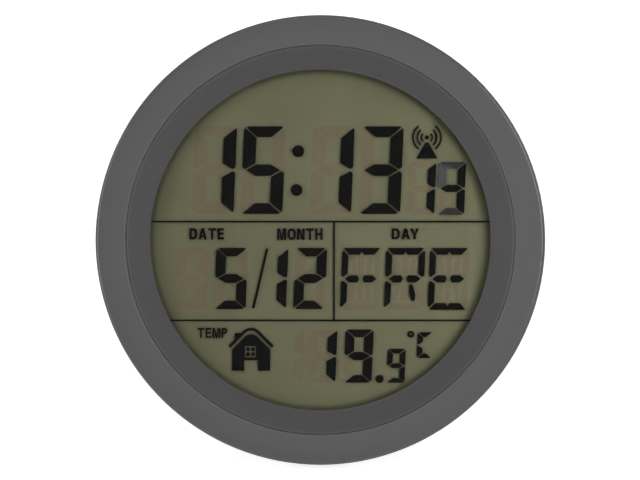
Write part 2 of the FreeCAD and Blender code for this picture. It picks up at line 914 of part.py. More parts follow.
def figure_segments(width, height, upright, bar, gap, notch, cuts):
    """Outlines of the segments of one figure, measured right and down from its top left."""
    middle = height / 2
    slope = bar / upright
    lean = math.sqrt(1 + slope**2)
    along = gap / 2 * lean / slope
    down = gap / 2 * lean
    cut = cuts["bar"] * upright
    corner_tip = cuts["corner_tip"] * upright
    half = MIDDLE_BAR * bar
    joint_slope = cuts["slope"]
    shift = cuts["gap"] * gap / 2 * math.sqrt(1 + joint_slope**2) / joint_slope
    joint_out = cuts["place"] * upright - shift
    joint_in = cuts["place"] * upright + shift
    tip = cuts["tip"] * upright
    shoulder = joint_in + half / joint_slope
    inner_tip = (width - S.day_middle_gap.value) / 2
    inner_shoulder = inner_tip - MIDDLE_TIP * half
    notch_top = bar - NOTCH_RISE * notch
    top = [
        (along + cut, 0),
        (width - along - cut, 0),
        (width - along - cut / 3, slope * cut / 3),
        (width - along - upright, bar),
        *([(width / 2 + notch, bar), (width / 2, notch_top), (width / 2 - notch, bar)] if notch else []),
        (along + upright, bar),
        (along + cut / 3, slope * cut / 3),
    ]
    upper_left = [
        (0, down + cuts["corner_edge"] * upright),
        (corner_tip, down + slope * corner_tip),
        (upright, down + bar),
        (upright, middle - joint_slope * (upright - joint_out)),
        (joint_out + tip / joint_slope, middle - tip),
        (0, middle - cuts["edge"] * upright),
    ]
    centre = [
        (joint_in, middle),
        (shoulder, middle - half),
        (width - shoulder, middle - half),
        (width - joint_in, middle),
        (width - shoulder, middle + half),
        (shoulder, middle + half),
    ]
    centre_left = [
        (joint_in, middle),
        (shoulder, middle - half),
        (inner_shoulder, middle - half),
        (inner_tip, middle),
        (inner_shoulder, middle + half),
        (shoulder, middle + half),
    ]
    leg = [(u * width, v * height) for u, v in LEG]
    post = [(u * width, v * height) for u, v in POST]
    across = [(width - u, v) for u, v in upper_left]
    return {
        "a": top,
        "b": across,
        "c": [(u, height - v) for u, v in across],
        "d": [(u, height - v) for u, v in top],
        "e": [(u, height - v) for u, v in upper_left],
        "f": upper_left,
        "g": centre,
        "i": centre_left,
        "j": [(width - u, v) for u, v in centre_left],
        "k": leg,
        "l": post,
        "m": [(width - u, v) for u, v in leg],
        "n": [(u, height - v) for u, v in leg],
        "o": [(u, height - v) for u, v in post],
        "p": [(width - u, height - v) for u, v in leg],
    }


def thin_solid(points):
    """A closed outline of x and z on the face, made into a thin solid of the display."""
    depth = segment_front.value
    ring_of_points = [Vector(x * artwork, depth, z * artwork) for x, z in points]
    ring_of_points.append(ring_of_points[0])
    face = Part.Face(Part.makePolygon(ring_of_points))
    return face.extrude(Vector(0, S.segment_thickness.value, 0))


def thin_disc(x, z, radius):
    centre = Vector(x * artwork, segment_front.value, z * artwork)
    return Part.makeCylinder(
        radius * artwork, S.segment_thickness.value, centre, Vector(0, 1, 0)
    )


def figure(kind, left, segments):
    """Solids of the chosen segments of one figure, whose left edge is at this x."""
    top = getattr(S, f"{kind}_top").value
    height = getattr(S, f"{kind}_height").value
    width = getattr(S, f"{kind}_width").value
    upright, bar = FIGURE_STROKES[kind]
    notch = S.day_notch.value if kind == "day" else 0
    gap = FIGURE_GAPS[kind].value
    cuts = DAY_CUTS if kind == "day" else PLAIN_CUTS
    outlines = figure_segments(width, height, upright.value, bar.value, gap, notch, cuts)
    slant = S.figure_slant.value
    solids = []
    for name in segments:
        points = [
            (left + u + slant * (height / 2 - v), top - v) for u, v in outlines[name]
        ]
        solids.append(thin_solid(points))
    return solids


FIGURE_STROKES = {
    "time": (S.time_upright, S.time_bar),
    "seconds": (S.seconds_upright, S.seconds_bar),
    "date": (S.date_upright, S.date_bar),
    "warmth": (S.warmth_upright, S.warmth_bar),
    "tenths": (S.tenths_upright, S.tenths_bar),
    "unit": (S.tenths_upright, S.tenths_bar),
    "day": (S.day_upright, S.day_bar),
}
FIGURE_GAPS = {
    "time": S.segment_gap,
    "seconds": S.segment_gap * 0.8,
    "date": S.segment_gap * 0.8,
    "warmth": S.segment_gap * 0.8,
    "tenths": S.segment_gap * 0.6,
    "unit": S.segment_gap * 0.6,
    "day": S.segment_gap * 1.08,
}
ALL_SEVEN = "abcdefg"
DAY_SEGMENTS = "abcdefijklmnop"


def day_left(number):
    return (S.day_left + S.day_pitch * number).value


# Each figure: its kind, its left edge and the figure that it shows, or none
shown_figures = [
    ("time", S.hour_tens_left.value, "1"),
    ("time", S.hour_ones_left.value, "5"),
    ("time", S.minute_tens_left.value, "1"),
    ("time", S.minute_ones_left.value, "3"),
    ("seconds", S.seconds_tens_left.value, "1"),
    ("date", S.date_ones_left.value, "5"),
    ("date", S.month_ones_left.value, "2"),
    ("warmth", S.warmth_tens_left.value, "1"),
    ("warmth", S.warmth_ones_left.value, "9"),
    ("tenths", S.tenths_left.value, "9"),
]
dark = []
unlit = []
for kind, left, shown in shown_figures:
    dark += figure(kind, left, FIGURES[shown])
    unlit += figure(kind, left, [name for name in ALL_SEVEN if name not in FIGURES[shown]])
dark += figure("date", S.month_tens_left.value, FIGURES["1"])
dark += figure("unit", S.unit_left.value, FIGURES["C"])
unlit += figure("date", S.date_tens_left.value, ALL_SEVEN)
unlit += figure("warmth", S.warmth_hundreds_left.value, "bc")
for number, letter in enumerate("FRE"):
    dark += figure("day", day_left(number), LETTERS[letter])
    unlit += figure("day", day_left(number), [n for n in DAY_SEGMENTS if n not in LETTERS[letter]])

# The last figure of the seconds is part way from one count to the next
dark += figure("seconds", S.seconds_ones_left.value, "bgc")
unlit += figure("seconds", S.seconds_ones_left.value, "e")
fading = figure("seconds", S.seconds_ones_left.value, "afd")

# Colon, slash, decimal point and degree ring
slant = S.figure_slant.value
colon_lean = slant * (S.colon_upper.value - S.colon_lower.value) / 2
dark.append(thin_disc(S.colon_x.value + colon_lean, S.colon_upper.value, S.colon_radius.value))
dark.append(thin_disc(S.colon_x.value - colon_lean, S.colon_lower.value, S.colon_radius.value))
dark.append(thin_disc(S.point_x.value, S.point_z.value, S.point_radius.value))
degree = thin_disc(S.degree_x.value, S.degree_z.value, S.degree_radius.value)
degree_hole = thin_disc(S.degree_x.value, S.degree_z.value, S.degree_hole_radius.value)
dark.append(degree.cut(degree_hole))
slash_top = S.date_top.value - (S.date_height.value - S.slash_height.value) / 2
slash_right = S.slash_x.value + S.slash_lean.value / 2
slash_left = S.slash_x.value - S.slash_lean.value / 2
half_slash = S.slash_width.value / 2
dark.append(thin_solid([
    (slash_right - half_slash, slash_top),
    (slash_right + half_slash, slash_top),
    (slash_left + half_slash, slash_top - S.slash_height.value),
    (slash_left - half_slash, slash_top - S.slash_height.value),
]))


def line_across(level):
    """A dividing line from one side of the round display to the other."""
    half = S.line_width.value / 2
    reach = math.sqrt(S.line_reach.value**2 - level**2)
    return thin_solid([
        (-reach, level - half), (reach, level - half), (reach, level + half), (-reach, level + half),
    ])


upper_line = line_across(S.upper_line.value)
lower_line = line_across(S.lower_line.value)
half_line = S.line_width.value / 2
middle_line = thin_solid([
    (S.middle_line.value - half_line, S.lower_line.value),
    (S.middle_line.value + half_line, S.lower_line.value),
    (S.middle_line.value + half_line, S.upper_line.value),
    (S.middle_line.value - half_line, S.upper_line.value),
])
dark.append(upper_line.fuse([middle_line, lower_line]).removeSplitter())

# Radio mast with three waves on either side
WAVE_HALF_ANGLES = [47, 51, 54]
mast_x = S.mast_x.value
mast_z = S.mast_dot_z.value
mast_half = S.mast_half_width.value
dark.append(thin_disc(mast_x, mast_z, S.mast_dot_radius.value))
dark.append(thin_solid([
    (mast_x - mast_half, S.mast_foot.value),
    (mast_x + mast_half, S.mast_foot.value),
    (mast_x + mast_half * 0.14, S.mast_top.value),
    (mast_x - mast_half * 0.14, S.mast_top.value),
]))
for number, half_angle in enumerate(WAVE_HALF_ANGLES):
    radius = S.wave_first_radius.value + number * S.wave_pitch.value
    outer = thin_disc(mast_x, mast_z, radius + S.wave_width.value / 2)
    inner = thin_disc(mast_x, mast_z, radius - S.wave_width.value / 2)
    wave_ring = outer.cut(inner)
    reach = 2 * radius
    rise = reach * math.tan(math.radians(half_angle))
    for side in (-1, 1):
        sector = thin_solid([
            (mast_x, mast_z),
            (mast_x + side * reach, mast_z - rise),
            (mast_x + side * reach, mast_z + rise),
        ])
        dark.append(wave_ring.common(sector))

# House of the indoor temperature: roof, chimney, walls with a door and a window
ROUNDING_STEPS = 8
house_x = S.house_x.value
ridge = S.house_ridge.value
roof_angle = math.radians(S.roof_angle.value)
roof_slope = math.tan(roof_angle)
roof_rise = S.roof_width.value / math.cos(roof_angle)
roof_under = roof_rise + S.roof_gap.value / math.cos(roof_angle)
roof_half = S.roof_half_width.value
wall_half = S.house_half_width.value
ridge_radius = S.house_ridge_radius.value


def gable(level, half_width, radius):
    """The upper outline of a gable, from left to right, with its ridge rounded."""
    points = [(house_x - half_width, level - half_width * roof_slope)]
    centre = level - radius / math.cos(roof_angle)
    for step in range(ROUNDING_STEPS + 1):
        turn = roof_angle * (1 - 2 * step / ROUNDING_STEPS)
        points.append((house_x - radius * math.sin(turn), centre + radius * math.cos(turn)))
    points.append((house_x + half_width, level - half_width * roof_slope))
    return points


eaves_half = roof_half - S.roof_width.value * math.sin(roof_angle)
roof_inside = gable(ridge - roof_rise, eaves_half, ridge_radius - S.roof_width.value)
roof = thin_solid(gable(ridge, roof_half, ridge_radius) + roof_inside[::-1])
chimney = thin_solid([
    (house_x - S.chimney_left.value, ridge - S.chimney_left.value * roof_slope - roof_rise / 2),
    (house_x - S.chimney_right.value, ridge - S.chimney_right.value * roof_slope - roof_rise / 2),
    (house_x - S.chimney_right.value, S.chimney_top.value),
    (house_x - S.chimney_left.value, S.chimney_top.value),
])
dark.append(roof.fuse(chimney).removeSplitter())
walls = thin_solid([
    *gable(ridge - roof_under, wall_half, ridge_radius - S.roof_width.value),
    (house_x + wall_half, S.house_foot.value),
    (house_x - wall_half, S.house_foot.value),
])
door_hole = thin_solid([
    (house_x + S.house_door_left.value, S.house_foot.value),
    (house_x + S.house_door_right.value, S.house_foot.value),
    (house_x + S.house_door_right.value, S.house_foot.value + S.house_door_height.value),
    (house_x + S.house_door_left.value, S.house_foot.value + S.house_door_height.value),
])
frame_half = S.house_pane.value + S.house_pane_bar.value * 1.5
window_x = house_x + S.house_window_x.value
window_z = S.house_window_z.value
window_hole = thin_solid([
    (window_x - frame_half, window_z - frame_half),
    (window_x + frame_half, window_z - frame_half),
    (window_x + frame_half, window_z + frame_half),
    (window_x - frame_half, window_z + frame_half),
])
dark.append(walls.cut(door_hole).cut(window_hole))
pane_near = S.house_pane_bar.value / 2
pane_far = pane_near + S.house_pane.value
for right in (-1, 1):
    for up in (-1, 1):
        dark.append(thin_solid([
            (window_x + right * pane_near, window_z + up * pane_near),
            (window_x + right * pane_far, window_z + up * pane_near),
            (window_x + right * pane_far, window_z + up * pane_far),
            (window_x + right * pane_near, window_z + up * pane_far),
        ]))

for label, solids in (
    ("lcd_segments", dark),
    ("lcd_fading_segments", fading),
    ("lcd_unlit_segments", unlit),
):
    layer = doc.addObject("Part::Feature", label)
    layer.Shape = Part.makeCompound(solids)
    finish(label, layer)

# Tray that centres the display glass and lies on the front housing's board bosses
holder = Piece("lcd_holder")
holder.raise_between(display_front, board_front, ("circle", 0, 0, holder_radius))
holder.raise_between(
    display_front,
    board_front,
    wide_box(tongue_half_width, -tongue_end, -holder_hole_radius),
)
holder.cut_between(
    display_front,
    holder_lip,
    glass_outline(glass_half_width + S.glass_clearance, ledge_level - S.glass_clearance),
)
holder.cut_between(holder_lip, board_front, ("circle", 0, 0, holder_hole_radius))
zebra_half = S.zebra_thickness / 2
holder.cut_between(
    holder_lip,
    board_front,
    wide_box(
        zebra_half_length + S.zebra_clearance,
        zebra_level - zebra_half - S.zebra_clearance,
        zebra_level + zebra_half + S.zebra_clearance,
    ),
)
board_hole = S.board_screw_radius + S.board_hole_clearance
holder.cut_between(
    display_front,
    board_front,
    *[("circle", x, z, board_hole) for x, z in board_screw_places],
)
finish("lcd_holder", holder.body)

zebra = Piece("zebra_strip")
zebra.raise_between(
    front_glass_rear,
    board_front,
    wide_box(zebra_half_length, zebra_level - zebra_half, zebra_level + zebra_half),
)
finish("zebra_strip", zebra.body)

# Circuit board
board = Piece("main_board")
board.raise_between(board_front, board_rear, ("circle", 0, 0, board_radius))
board.raise_between(
    board_front,
    board_rear,
    wide_box(
        tongue_half_width - S.glass_clearance,
        -(tongue_end - S.glass_clearance),
        -holder_hole_radius,
    ),
)
board.cut_between(
    board_front,
    board_rear,
    *[("circle", x, z, board_hole) for x, z in board_screw_places],
)
finish("main_board", board.body)

finish_group("board_screws", [
    add_screw(
        f"board_screw_{number}",
        S.board_screw_head_radius,
        S.board_screw_head_height,
        S.board_screw_radius,
        S.board_screw_length,
        board_rear,
        x,
        z,
    )
    for number, (x, z) in enumerate(board_screw_places, start=1)
])

# The chip under its drop of black resin
chip = Piece("chip_blob")
chip.turn([
    (0, board_rear),
    (S.chip_radius, board_rear),
    (S.chip_radius * 0.92, board_rear + S.chip_height * 0.3),
    (S.chip_radius * 0.72, board_rear + S.chip_height * 0.65),
    (S.chip_radius * 0.4, board_rear + S.chip_height * 0.92),
    (0, board_rear + S.chip_height),
])
finish_at("chip_blob", chip, -18, -14)

crystal = Piece("quartz_crystal")
crystal.raise_across(
    S.crystal_length / 2, ("circle", board_rear + S.crystal_radius, 0, S.crystal_radius)
)
finish_at("quartz_crystal", crystal, -3, -14)

bead = Piece("thermistor")
bead.turn([
    (0, board_rear),
    (S.thermistor_radius * 0.4, board_rear),
    (S.thermistor_radius * 0.4, board_rear + S.thermistor_height * 0.4),
    (S.thermistor_radius, board_rear + S.thermistor_height * 0.55),
    (S.thermistor_radius, board_rear + S.thermistor_height * 0.85),
    (S.thermistor_radius * 0.5, board_rear + S.thermistor_height),
    (0, board_rear + S.thermistor_height),
])
finish_at("thermistor", bead, 58, -12)

# Small parts on the board: x, z, width and height of each, in millimetres
CHIP_PARTS = [
    (8, -10, 2.0, 1.2), (12, -10, 2.0, 1.2), (16, -10, 2.0, 1.2), (8, -14, 1.6, 0.8),
    (12, -14, 1.6, 0.8), (24, -16, 3.2, 2.5), (-36, 6, 2.0, 1.2), (-36, 10, 2.0, 1.2),
    (36, 6, 2.0, 1.2), (36, 12, 3.2, 1.6), (-34, -14, 2.0, 1.2), (-38, -14, 1.2, 2.0),
]
CHIP_PART_DEPTH = 0.9
finish_group("board_components", [
    block(f"chip_part_{number}", x, board_rear, z, width, CHIP_PART_DEPTH, height)
    for number, (x, z, width, height) in enumerate(CHIP_PARTS, start=1)
])

# Receiver for the time signal, on its own small board at the side of the antenna
receiver_left = S.cradle_span / 2 - S.receiver_width
receiver_low = antenna_level + S.cradle_half_height + S.receiver_gap
receiver = Piece("receiver_board")
receiver.raise_between(
    board_rear,
    board_rear + S.receiver_thickness,
    box_outline(
        receiver_left, receiver_left + S.receiver_width,
        receiver_low, receiver_low + S.receiver_height,
    ),
)
receiver.raise_between(
    board_rear + S.receiver_thickness,
    board_rear + S.receiver_thickness + S.receiver_chip_height,
    box_outline(
        receiver_left + S.receiver_gap,
        receiver_left + S.receiver_gap + S.receiver_chip_size,
        receiver_low + S.receiver_gap,
        receiver_low + S.receiver_gap + S.receiver_chip_size,
    ),
)
finish("receiver_board", receiver.body)

# Ferrite rod with its coil, in a cradle on the board
rod = Piece("ferrite_rod")
rod.raise_across(
    S.ferrite_length / 2, ("circle", antenna_depth, antenna_level, S.ferrite_radius)
)
finish("ferrite_rod", rod.body)

coil = Piece("antenna_coil")
coil.raise_across(
    S.coil_length / 2,
    ("circle", antenna_depth, antenna_level, S.coil_radius),
    ("circle", antenna_depth, antenna_level, S.ferrite_radius + S.coil_clearance),
)
finish("antenna_coil", coil.body)

cradle = Piece("antenna_holder")
half_cradle = S.cradle_span / 2
cradle_low = antenna_level - S.cradle_half_height
cradle_high = antenna_level + S.cradle_half_height
cradle.raise_between(
    board_rear, board_rear + S.cradle_base, wide_box(half_cradle, cradle_low, cradle_high)
)
cradle.raise_between(
    board_rear,
    antenna_depth,
    box_outline(-half_cradle, -half_cradle + S.cradle_width, cradle_low, cradle_high),
    box_outline(half_cradle - S.cradle_width, half_cradle, cradle_low, cradle_high),
)
cradle.cut_across(
    half_cradle + S.cradle_base,
    ("circle", antenna_depth, antenna_level, S.ferrite_radius + S.thread_clearance),
)
finish("antenna_holder", cradle.body)


def lead_between(label, x, front_z):
    """A thin wire that drops from the coil to the board with one rounded bend."""
    start_z = antenna_level + S.coil_radius
    level = antenna_depth
    bend = (level - board_rear) / 3
    near = Vector(sized(x).value, level.value, start_z.value)
    corner = Vector(sized(x).value, level.value, sized(front_z).value)
    foot = Vector(sized(x).value, board_rear.value, sized(front_z).value)
    before = corner - Vector(0, 0, bend.value)
    after = corner - Vector(0, bend.value, 0)
    middle = corner - Vector(0, bend.value, bend.value) * (1 - math.sqrt(0.5))
    path = Part.Wire([
        Part.LineSegment(near, before).toShape(),
        Part.Arc(before, middle, after).toShape(),
        Part.LineSegment(after, foot).toShape(),
    ])
    section = Part.Wire([Part.Circle(near, Vector(0, 0, 1), S.lead_radius.value).toShape()])
    wire = doc.addObject("Part::Feature", label)
    wire.Shape = path.makePipeShell([section], True, True)
    return wire


lead_level = receiver_low - S.cradle_base
finish_group("antenna_leads", [
    lead_between("antenna_lead_1", receiver_left - S.cradle_width, lead_level),
    lead_between("antenna_lead_2", receiver_left - 1.5 * S.cradle_width, lead_level),
])

# Rear housing: a sloped shell with screw wells, battery compartment, stand recess, hanging
# hole, button guides and suction cup sockets
rear = Piece("rear_housing")
rear_front = rim_depth + S.rear_gap
slope_end = clock_depth - S.shoulder
slope_run = S.shell_taper
slope_rise = slope_end - rear_front
slope_length_value = math.hypot(slope_run.value, slope_rise.value)
slope_length = Size(
    slope_length_value, f"sqrt({slope_run.text} ^ 2 + {slope_rise.text} ^ 2)"
)
wall_inwards = S.rear_wall * slope_length / slope_rise
lip_inside = skirt_radius + S.ring_clearance + S.thread_clearance
land_inside = lip_inside - S.seal_land_width


def slope_radius(depth, inwards=0):
    """Radius of the outer slope at a depth, less a thickness taken inwards."""
    return rear_radius - (depth - rear_front) * slope_run / slope_rise - inwards


inner_bend = back_inside - S.rear_wall
inner_start = rear_front + (rear_radius - wall_inwards - land_inside) * slope_rise / slope_run
rear.turn([
    (lip_inside, rear_front),
    (rear_radius, rear_front),
    (slope_end_radius, slope_end),
    (back_radius, clock_depth, S.shoulder * 1.5),
    (0, clock_depth),
    (0, back_inside),
    (slope_radius(inner_bend, wall_inwards) - S.rear_wall, back_inside),
    (slope_radius(inner_bend, wall_inwards), inner_bend),
    (land_inside, inner_start),
    (land_inside, seal_land),
    (lip_inside, seal_land),
])
merge = S.rear_wall / 2
column_radius = S.screw_well_radius + S.column_wall
rear.raise_between(
    board_rear, slope_end, *[("circle", x, z, column_radius) for x, z in screw_places]
)
tray_half_width = door_half_width + S.door_clearance
tray_half_height = door_half_height + S.door_clearance
rear.raise_between(
    tray_floor - S.tray_wall,
    back_inside + merge,
    wide_box(
        tray_half_width + S.tray_wall,
        door_middle - tray_half_height - S.tray_wall,
        door_middle + tray_half_height + S.tray_wall,
    ),
)
rear.raise_between(
    compartment_bottom - S.compartment_floor,
    tray_floor,
    wide_box(
        compartment_half_length + S.compartment_wall,
        door_middle - compartment_half_height - S.compartment_wall,
        door_middle + compartment_half_height + S.compartment_wall,
    ),
)
door_screw_places = [
    (
        side * (door_half_width - S.door_screw_inset),
        door_middle + up * (door_half_height - S.door_screw_margin),
    )
    for side in (-1, 1)
    for up in (-1, 1)
]
rear.raise_between(
    tray_floor - S.door_boss_height,
    tray_floor,
    *[("circle", x, z, S.door_foot_radius) for x, z in door_screw_places],
)
rear.raise_between(
    leaf_floor - S.recess_wall,
    back_inside + merge,
    wide_box(recess_half_width + S.recess_wall, recess_foot - S.recess_wall, recess_top + S.recess_wall),
)
rear.raise_between(
    barrel_floor - S.recess_wall,
    back_inside + merge,
    wide_box(
        ear_half_width,
        recess_foot - S.recess_wall,
        stand_axis_level + S.ear_half_height + S.recess_wall,
    ),
)
keyhole_slot_end = keyhole_level + S.keyhole_slot_length
cavity_half_width = S.keyhole_cavity_half_width
cavity_low = keyhole_level - S.keyhole_radius
cavity_high = keyhole_slot_end + S.keyhole_radius
cavity_front = back_inside - S.keyhole_cavity_depth
rear.raise_between(
    cavity_front - S.keyhole_cavity_wall,
    back_inside + merge,
    wide_box(
        cavity_half_width + S.keyhole_cavity_wall,
        cavity_low - S.keyhole_cavity_wall,
        cavity_high + S.keyhole_cavity_wall,
    ),
)
button_hole = S.button_radius + S.button_clearance
button_places = [(S.button_pitch * step, button_level) for step in BUTTON_STEPS]
rear.raise_between(
    guide_front,
    back_inside + merge,
    *[("circle", x, z, button_hole + S.guide_wall) for x, z in button_places],
)
cup_places = [(side * cup_x, up * cup_z) for side, up in CUP_SIDES]
socket_floor = back_inside - S.cup_head_thickness - 2 * S.cup_clearance
rear.raise_between(
    socket_floor - S.socket_wall,
    back_inside + merge,
    *[
        ("circle", x, z, S.cup_head_radius + S.cup_clearance + S.socket_wall)
        for x, z in cup_places
    ],
)
beyond = rim_radius + S.rear_wall
rear.cut_round([
    (slope_end_radius, slope_end),
    (rear_radius, rear_front),
    (beyond, rear_front),
    (beyond, clock_depth + S.rear_wall),
    (back_radius, clock_depth + S.rear_wall),
    (back_radius, clock_depth),
])
rear.cut_between(
    screw_seat, clock_depth, *[("circle", x, z, S.screw_well_radius) for x, z in screw_places]
)
rear.cut_between(
    board_rear,
    screw_seat,
    *[("circle", x, z, S.screw_radius + S.board_hole_clearance) for x, z in screw_places],
)
rear.cut_between(
    tray_floor,
    clock_depth,
    wide_box(
        tray_half_width, door_middle - tray_half_height, door_middle + tray_half_height
    ),
)
rear.cut_between(
    compartment_bottom,
    tray_floor,
    wide_box(
        compartment_half_length,
        door_middle - compartment_half_height,
        door_middle + compartment_half_height,
    ),
)
rear.cut_between(
    tray_floor - S.door_boss_height + S.door_boss_floor,
    tray_floor,
    *[
        ("circle", x, z, S.door_screw_radius + 2 * S.thread_clearance)
        for x, z in door_screw_places
    ],
)
rear.cut_between(
    leaf_floor, clock_depth, wide_box(recess_half_width, recess_foot, recess_top)
)
rear.cut_between(
    barrel_floor,
    clock_depth,
    wide_box(recess_half_width, recess_foot, stand_axis_level + S.stand_barrel_radius + 1),
)
rear.cut_between(leaf_floor, clock_depth, ("circle", 0, leaf_end_level, S.finger_notch_radius))
rear.cut_across(
    recess_half_width + S.axle_length + S.axle_end_gap,
    ("circle", stand_axis_depth, stand_axis_level, S.axle_radius + S.axle_clearance),
)
slot_half = S.keyhole_slot_width / 2
rear.cut_between(cavity_front, back_inside, wide_box(cavity_half_width, cavity_low, cavity_high))
rear.cut_between(
    back_inside - merge, clock_depth, ("circle", 0, keyhole_level, S.keyhole_radius)
)
rear.cut_between(
    back_inside - merge, clock_depth, wide_box(slot_half, keyhole_level, keyhole_slot_end)
)
rear.cut_between(back_inside - merge, clock_depth, ("circle", 0, keyhole_slot_end, slot_half))
rear.cut_between(
    guide_front, clock_depth, *[("circle", x, z, button_hole) for x, z in button_places]
)
rear.cut_between(
    socket_floor,
    back_inside,
    *[("circle", x, z, S.cup_head_radius + S.cup_clearance) for x, z in cup_places],
)
rear.cut_between(
    socket_floor,
    clock_depth,
    *[("circle", x, z, S.cup_stem_radius + S.cup_clearance) for x, z in cup_places],
)
tab_half_width = S.contact_width * 0.15
tab_places = [door_middle + side * S.cell_spacing / 2 for side in (-1, 1)]
tab_left = contact_inside - S.thread_clearance
rear.cut_between(
    compartment_bottom - S.compartment_floor,
    compartment_bottom,
    *[
        box_outline(
            tab_left, compartment_half_length,
            z - tab_half_width - S.thread_clearance, z + tab_half_width + S.thread_clearance,
        )
        for z in tab_places
    ],
)
finish("rear_housing", rear.body)

# Seal between the housings and the six screws that close them
seal = Piece("housing_seal")
seal.turn([
    (skirt_inside + S.seal_margin, front_skirt_end),
    (skirt_radius - S.seal_margin, front_skirt_end),
    (skirt_radius - S.seal_margin, seal_land),
    (skirt_inside + S.seal_margin, seal_land),
])
finish("housing_seal", seal.body)

finish_group("housing_screws", [
    add_screw(
        f"housing_screw_{number}",
        S.screw_head_radius,
        S.screw_head_height,
        S.screw_radius,
        S.screw_length,
        screw_seat,
        x,
        z,
    )
    for number, (x, z) in enumerate(screw_places, start=1)
])

# Battery door with feet at its screws and two ribs that steady the cells
door = Piece("battery_door")
door_low = door_middle - door_half_height
door_high = door_middle + door_half_height
door.raise_between(door_front, clock_depth, wide_box(door_half_width, door_low, door_high))
door.raise_between(
    tray_floor,
    door_front,
    *[("circle", x, z, S.door_foot_radius) for x, z in door_screw_places],
)
rib_half_height = S.cell_spacing / 2
rib_x = compartment_half_length / 2
rib_half_width = 2 * S.rib_clearance
door.raise_between(
    cell_top + S.rib_clearance,
    door_front,
    *[
        box_outline(
            side * rib_x - rib_half_width, side * rib_x + rib_half_width,
            door_middle - rib_half_height, door_middle + rib_half_height,
        )
        for side in (-1, 1)
    ],
)
door_screw_seat = clock_depth - S.door_screw_head_height - S.door_clearance
door.cut_between(
    door_screw_seat,
    clock_depth,
    *[
        ("circle", x, z, S.door_screw_head_radius + S.door_clearance)
        for x, z in door_screw_places
    ],
)
door.cut_between(
    tray_floor,
    door_screw_seat,
    *[
        ("circle", x, z, S.door_screw_radius + S.thread_clearance)
        for x, z in door_screw_places
    ],
)
finish("battery_door", door.body)

door_gasket = Piece("door_gasket")
gasket_inner_width = compartment_half_length + S.thread_clearance
gasket_inner_height = compartment_half_height + S.thread_clearance
door_gasket.raise_between(
    tray_floor,
    door_front,
    wide_box(
        gasket_inner_width + S.door_gasket_width,
        door_middle - gasket_inner_height - S.door_gasket_width,
        door_middle + gasket_inner_height + S.door_gasket_width,
    ),
    wide_box(
        gasket_inner_width,
        door_middle - gasket_inner_height,
        door_middle + gasket_inner_height,
    ),
)
finish("door_gasket", door_gasket.body)

finish_group("door_screws", [
    add_screw(
        f"door_screw_{number}",
        S.door_screw_head_radius,
        S.door_screw_head_height,
        S.door_screw_radius,
        S.door_screw_length,
        door_screw_seat,
        x,
        z,
    )
    for number, (x, z) in enumerate(door_screw_places, start=1)
])

# Two cells side by side, head to tail, with their springs and contact plates
cell_tip = contact_inside
for number, (way, level) in enumerate(zip((1, -1), tab_places), start=1):
    cell = Piece(f"battery_cell_{number}")
    shoulder = S.cell_length - S.nub_length
    cell.turn([
        (0, 0),
        (S.cell_radius * 0.92, 0),
        (S.cell_radius, S.cell_radius * 0.08),
        (S.cell_radius, shoulder - S.cell_radius * 0.08),
        (S.cell_radius * 0.92, shoulder),
        (S.nub_radius, shoulder),
        (S.nub_radius, S.cell_length),
        (0, S.cell_length),
    ])
    lying = Placement(
        Vector(
            way * (cell_tip - S.cell_length).value,
            cell_axis_depth.value,
            level.value,
        ),
        Rotation(Vector(0, 0, 1), -90 * way),
    )
    finish(f"battery_cell_{number}", cell.body, LEAN.multiply(lying))

SPRING_STEPS = 24
SPRING_SIDES = 8


def coil_spring(label):
    """A conical spring that stands on its wide end, along z from the origin."""
    room = (S.spring_length - 2 * S.spring_wire - S.thread_clearance).value
    pitch = S.spring_pitch.value
    points = []
    for step in range(int(room / pitch * SPRING_STEPS) + 1):
        rise = step * pitch / SPRING_STEPS
        radius = (S.spring_radius - rise * S.spring_taper).value
        turn = 2 * math.pi * step / SPRING_STEPS
        points.append(Vector(radius * math.cos(turn), radius * math.sin(turn), rise))
    curve = Part.BSplineCurve()
    curve.interpolate(points)
    along = curve.tangent(curve.FirstParameter)[0]
    across = along.cross(Vector(0, 0, 1)).normalize()
    up = along.cross(across).normalize()
    corners = []
    for side in range(SPRING_SIDES + 1):
        turn = 2 * math.pi * (side % SPRING_SIDES) / SPRING_SIDES
        offset = across * math.cos(turn) + up * math.sin(turn)
        corners.append(points[0] + offset * S.spring_wire.value)
    spring = doc.addObject("Part::Feature", label)
    path = Part.Wire([curve.toShape()])
    spring.Shape = path.makePipeShell([Part.makePolygon(corners)], True, True)
    return spring


springs = []
for number, (way, level) in enumerate(zip((1, -1), tab_places), start=1):
    spring = coil_spring(f"battery_spring_{number}")
    start = -way * (contact_inside - S.spring_wire)
    spring.Placement = Placement(
        Vector(start.value, cell_axis_depth.value, level.value),
        Rotation(Vector(0, 1, 0), 90 * way),
    )
    springs.append(spring)
finish_group("battery_springs", springs)

half_contact = S.contact_width / 2
contact_front = cell_axis_depth - half_contact
link_plate = block(
    "link_plate",
    -compartment_half_length,
    contact_front,
    tab_places[0] - half_contact,
    S.contact_thickness,
    S.contact_width,
    S.cell_spacing + S.contact_width,
)
plates = [link_plate]
for number, level in enumerate(tab_places, start=1):
    plate = block(
        f"contact_plate_{number}", contact_inside, contact_front, level - half_contact,
        S.contact_thickness, S.contact_width, S.contact_width,
    )
    tab = block(
        f"contact_tab_{number}", contact_inside, board_rear, level - tab_half_width,
        S.contact_thickness, contact_front - board_rear + S.contact_thickness, 2 * tab_half_width,
    )
    joined = doc.addObject("Part::Fuse", f"end_contact_{number}")
    joined.Base = plate
    joined.Tool = tab
    joined.Refine = True
    plates.append(joined)
finish_group("battery_plates", plates)

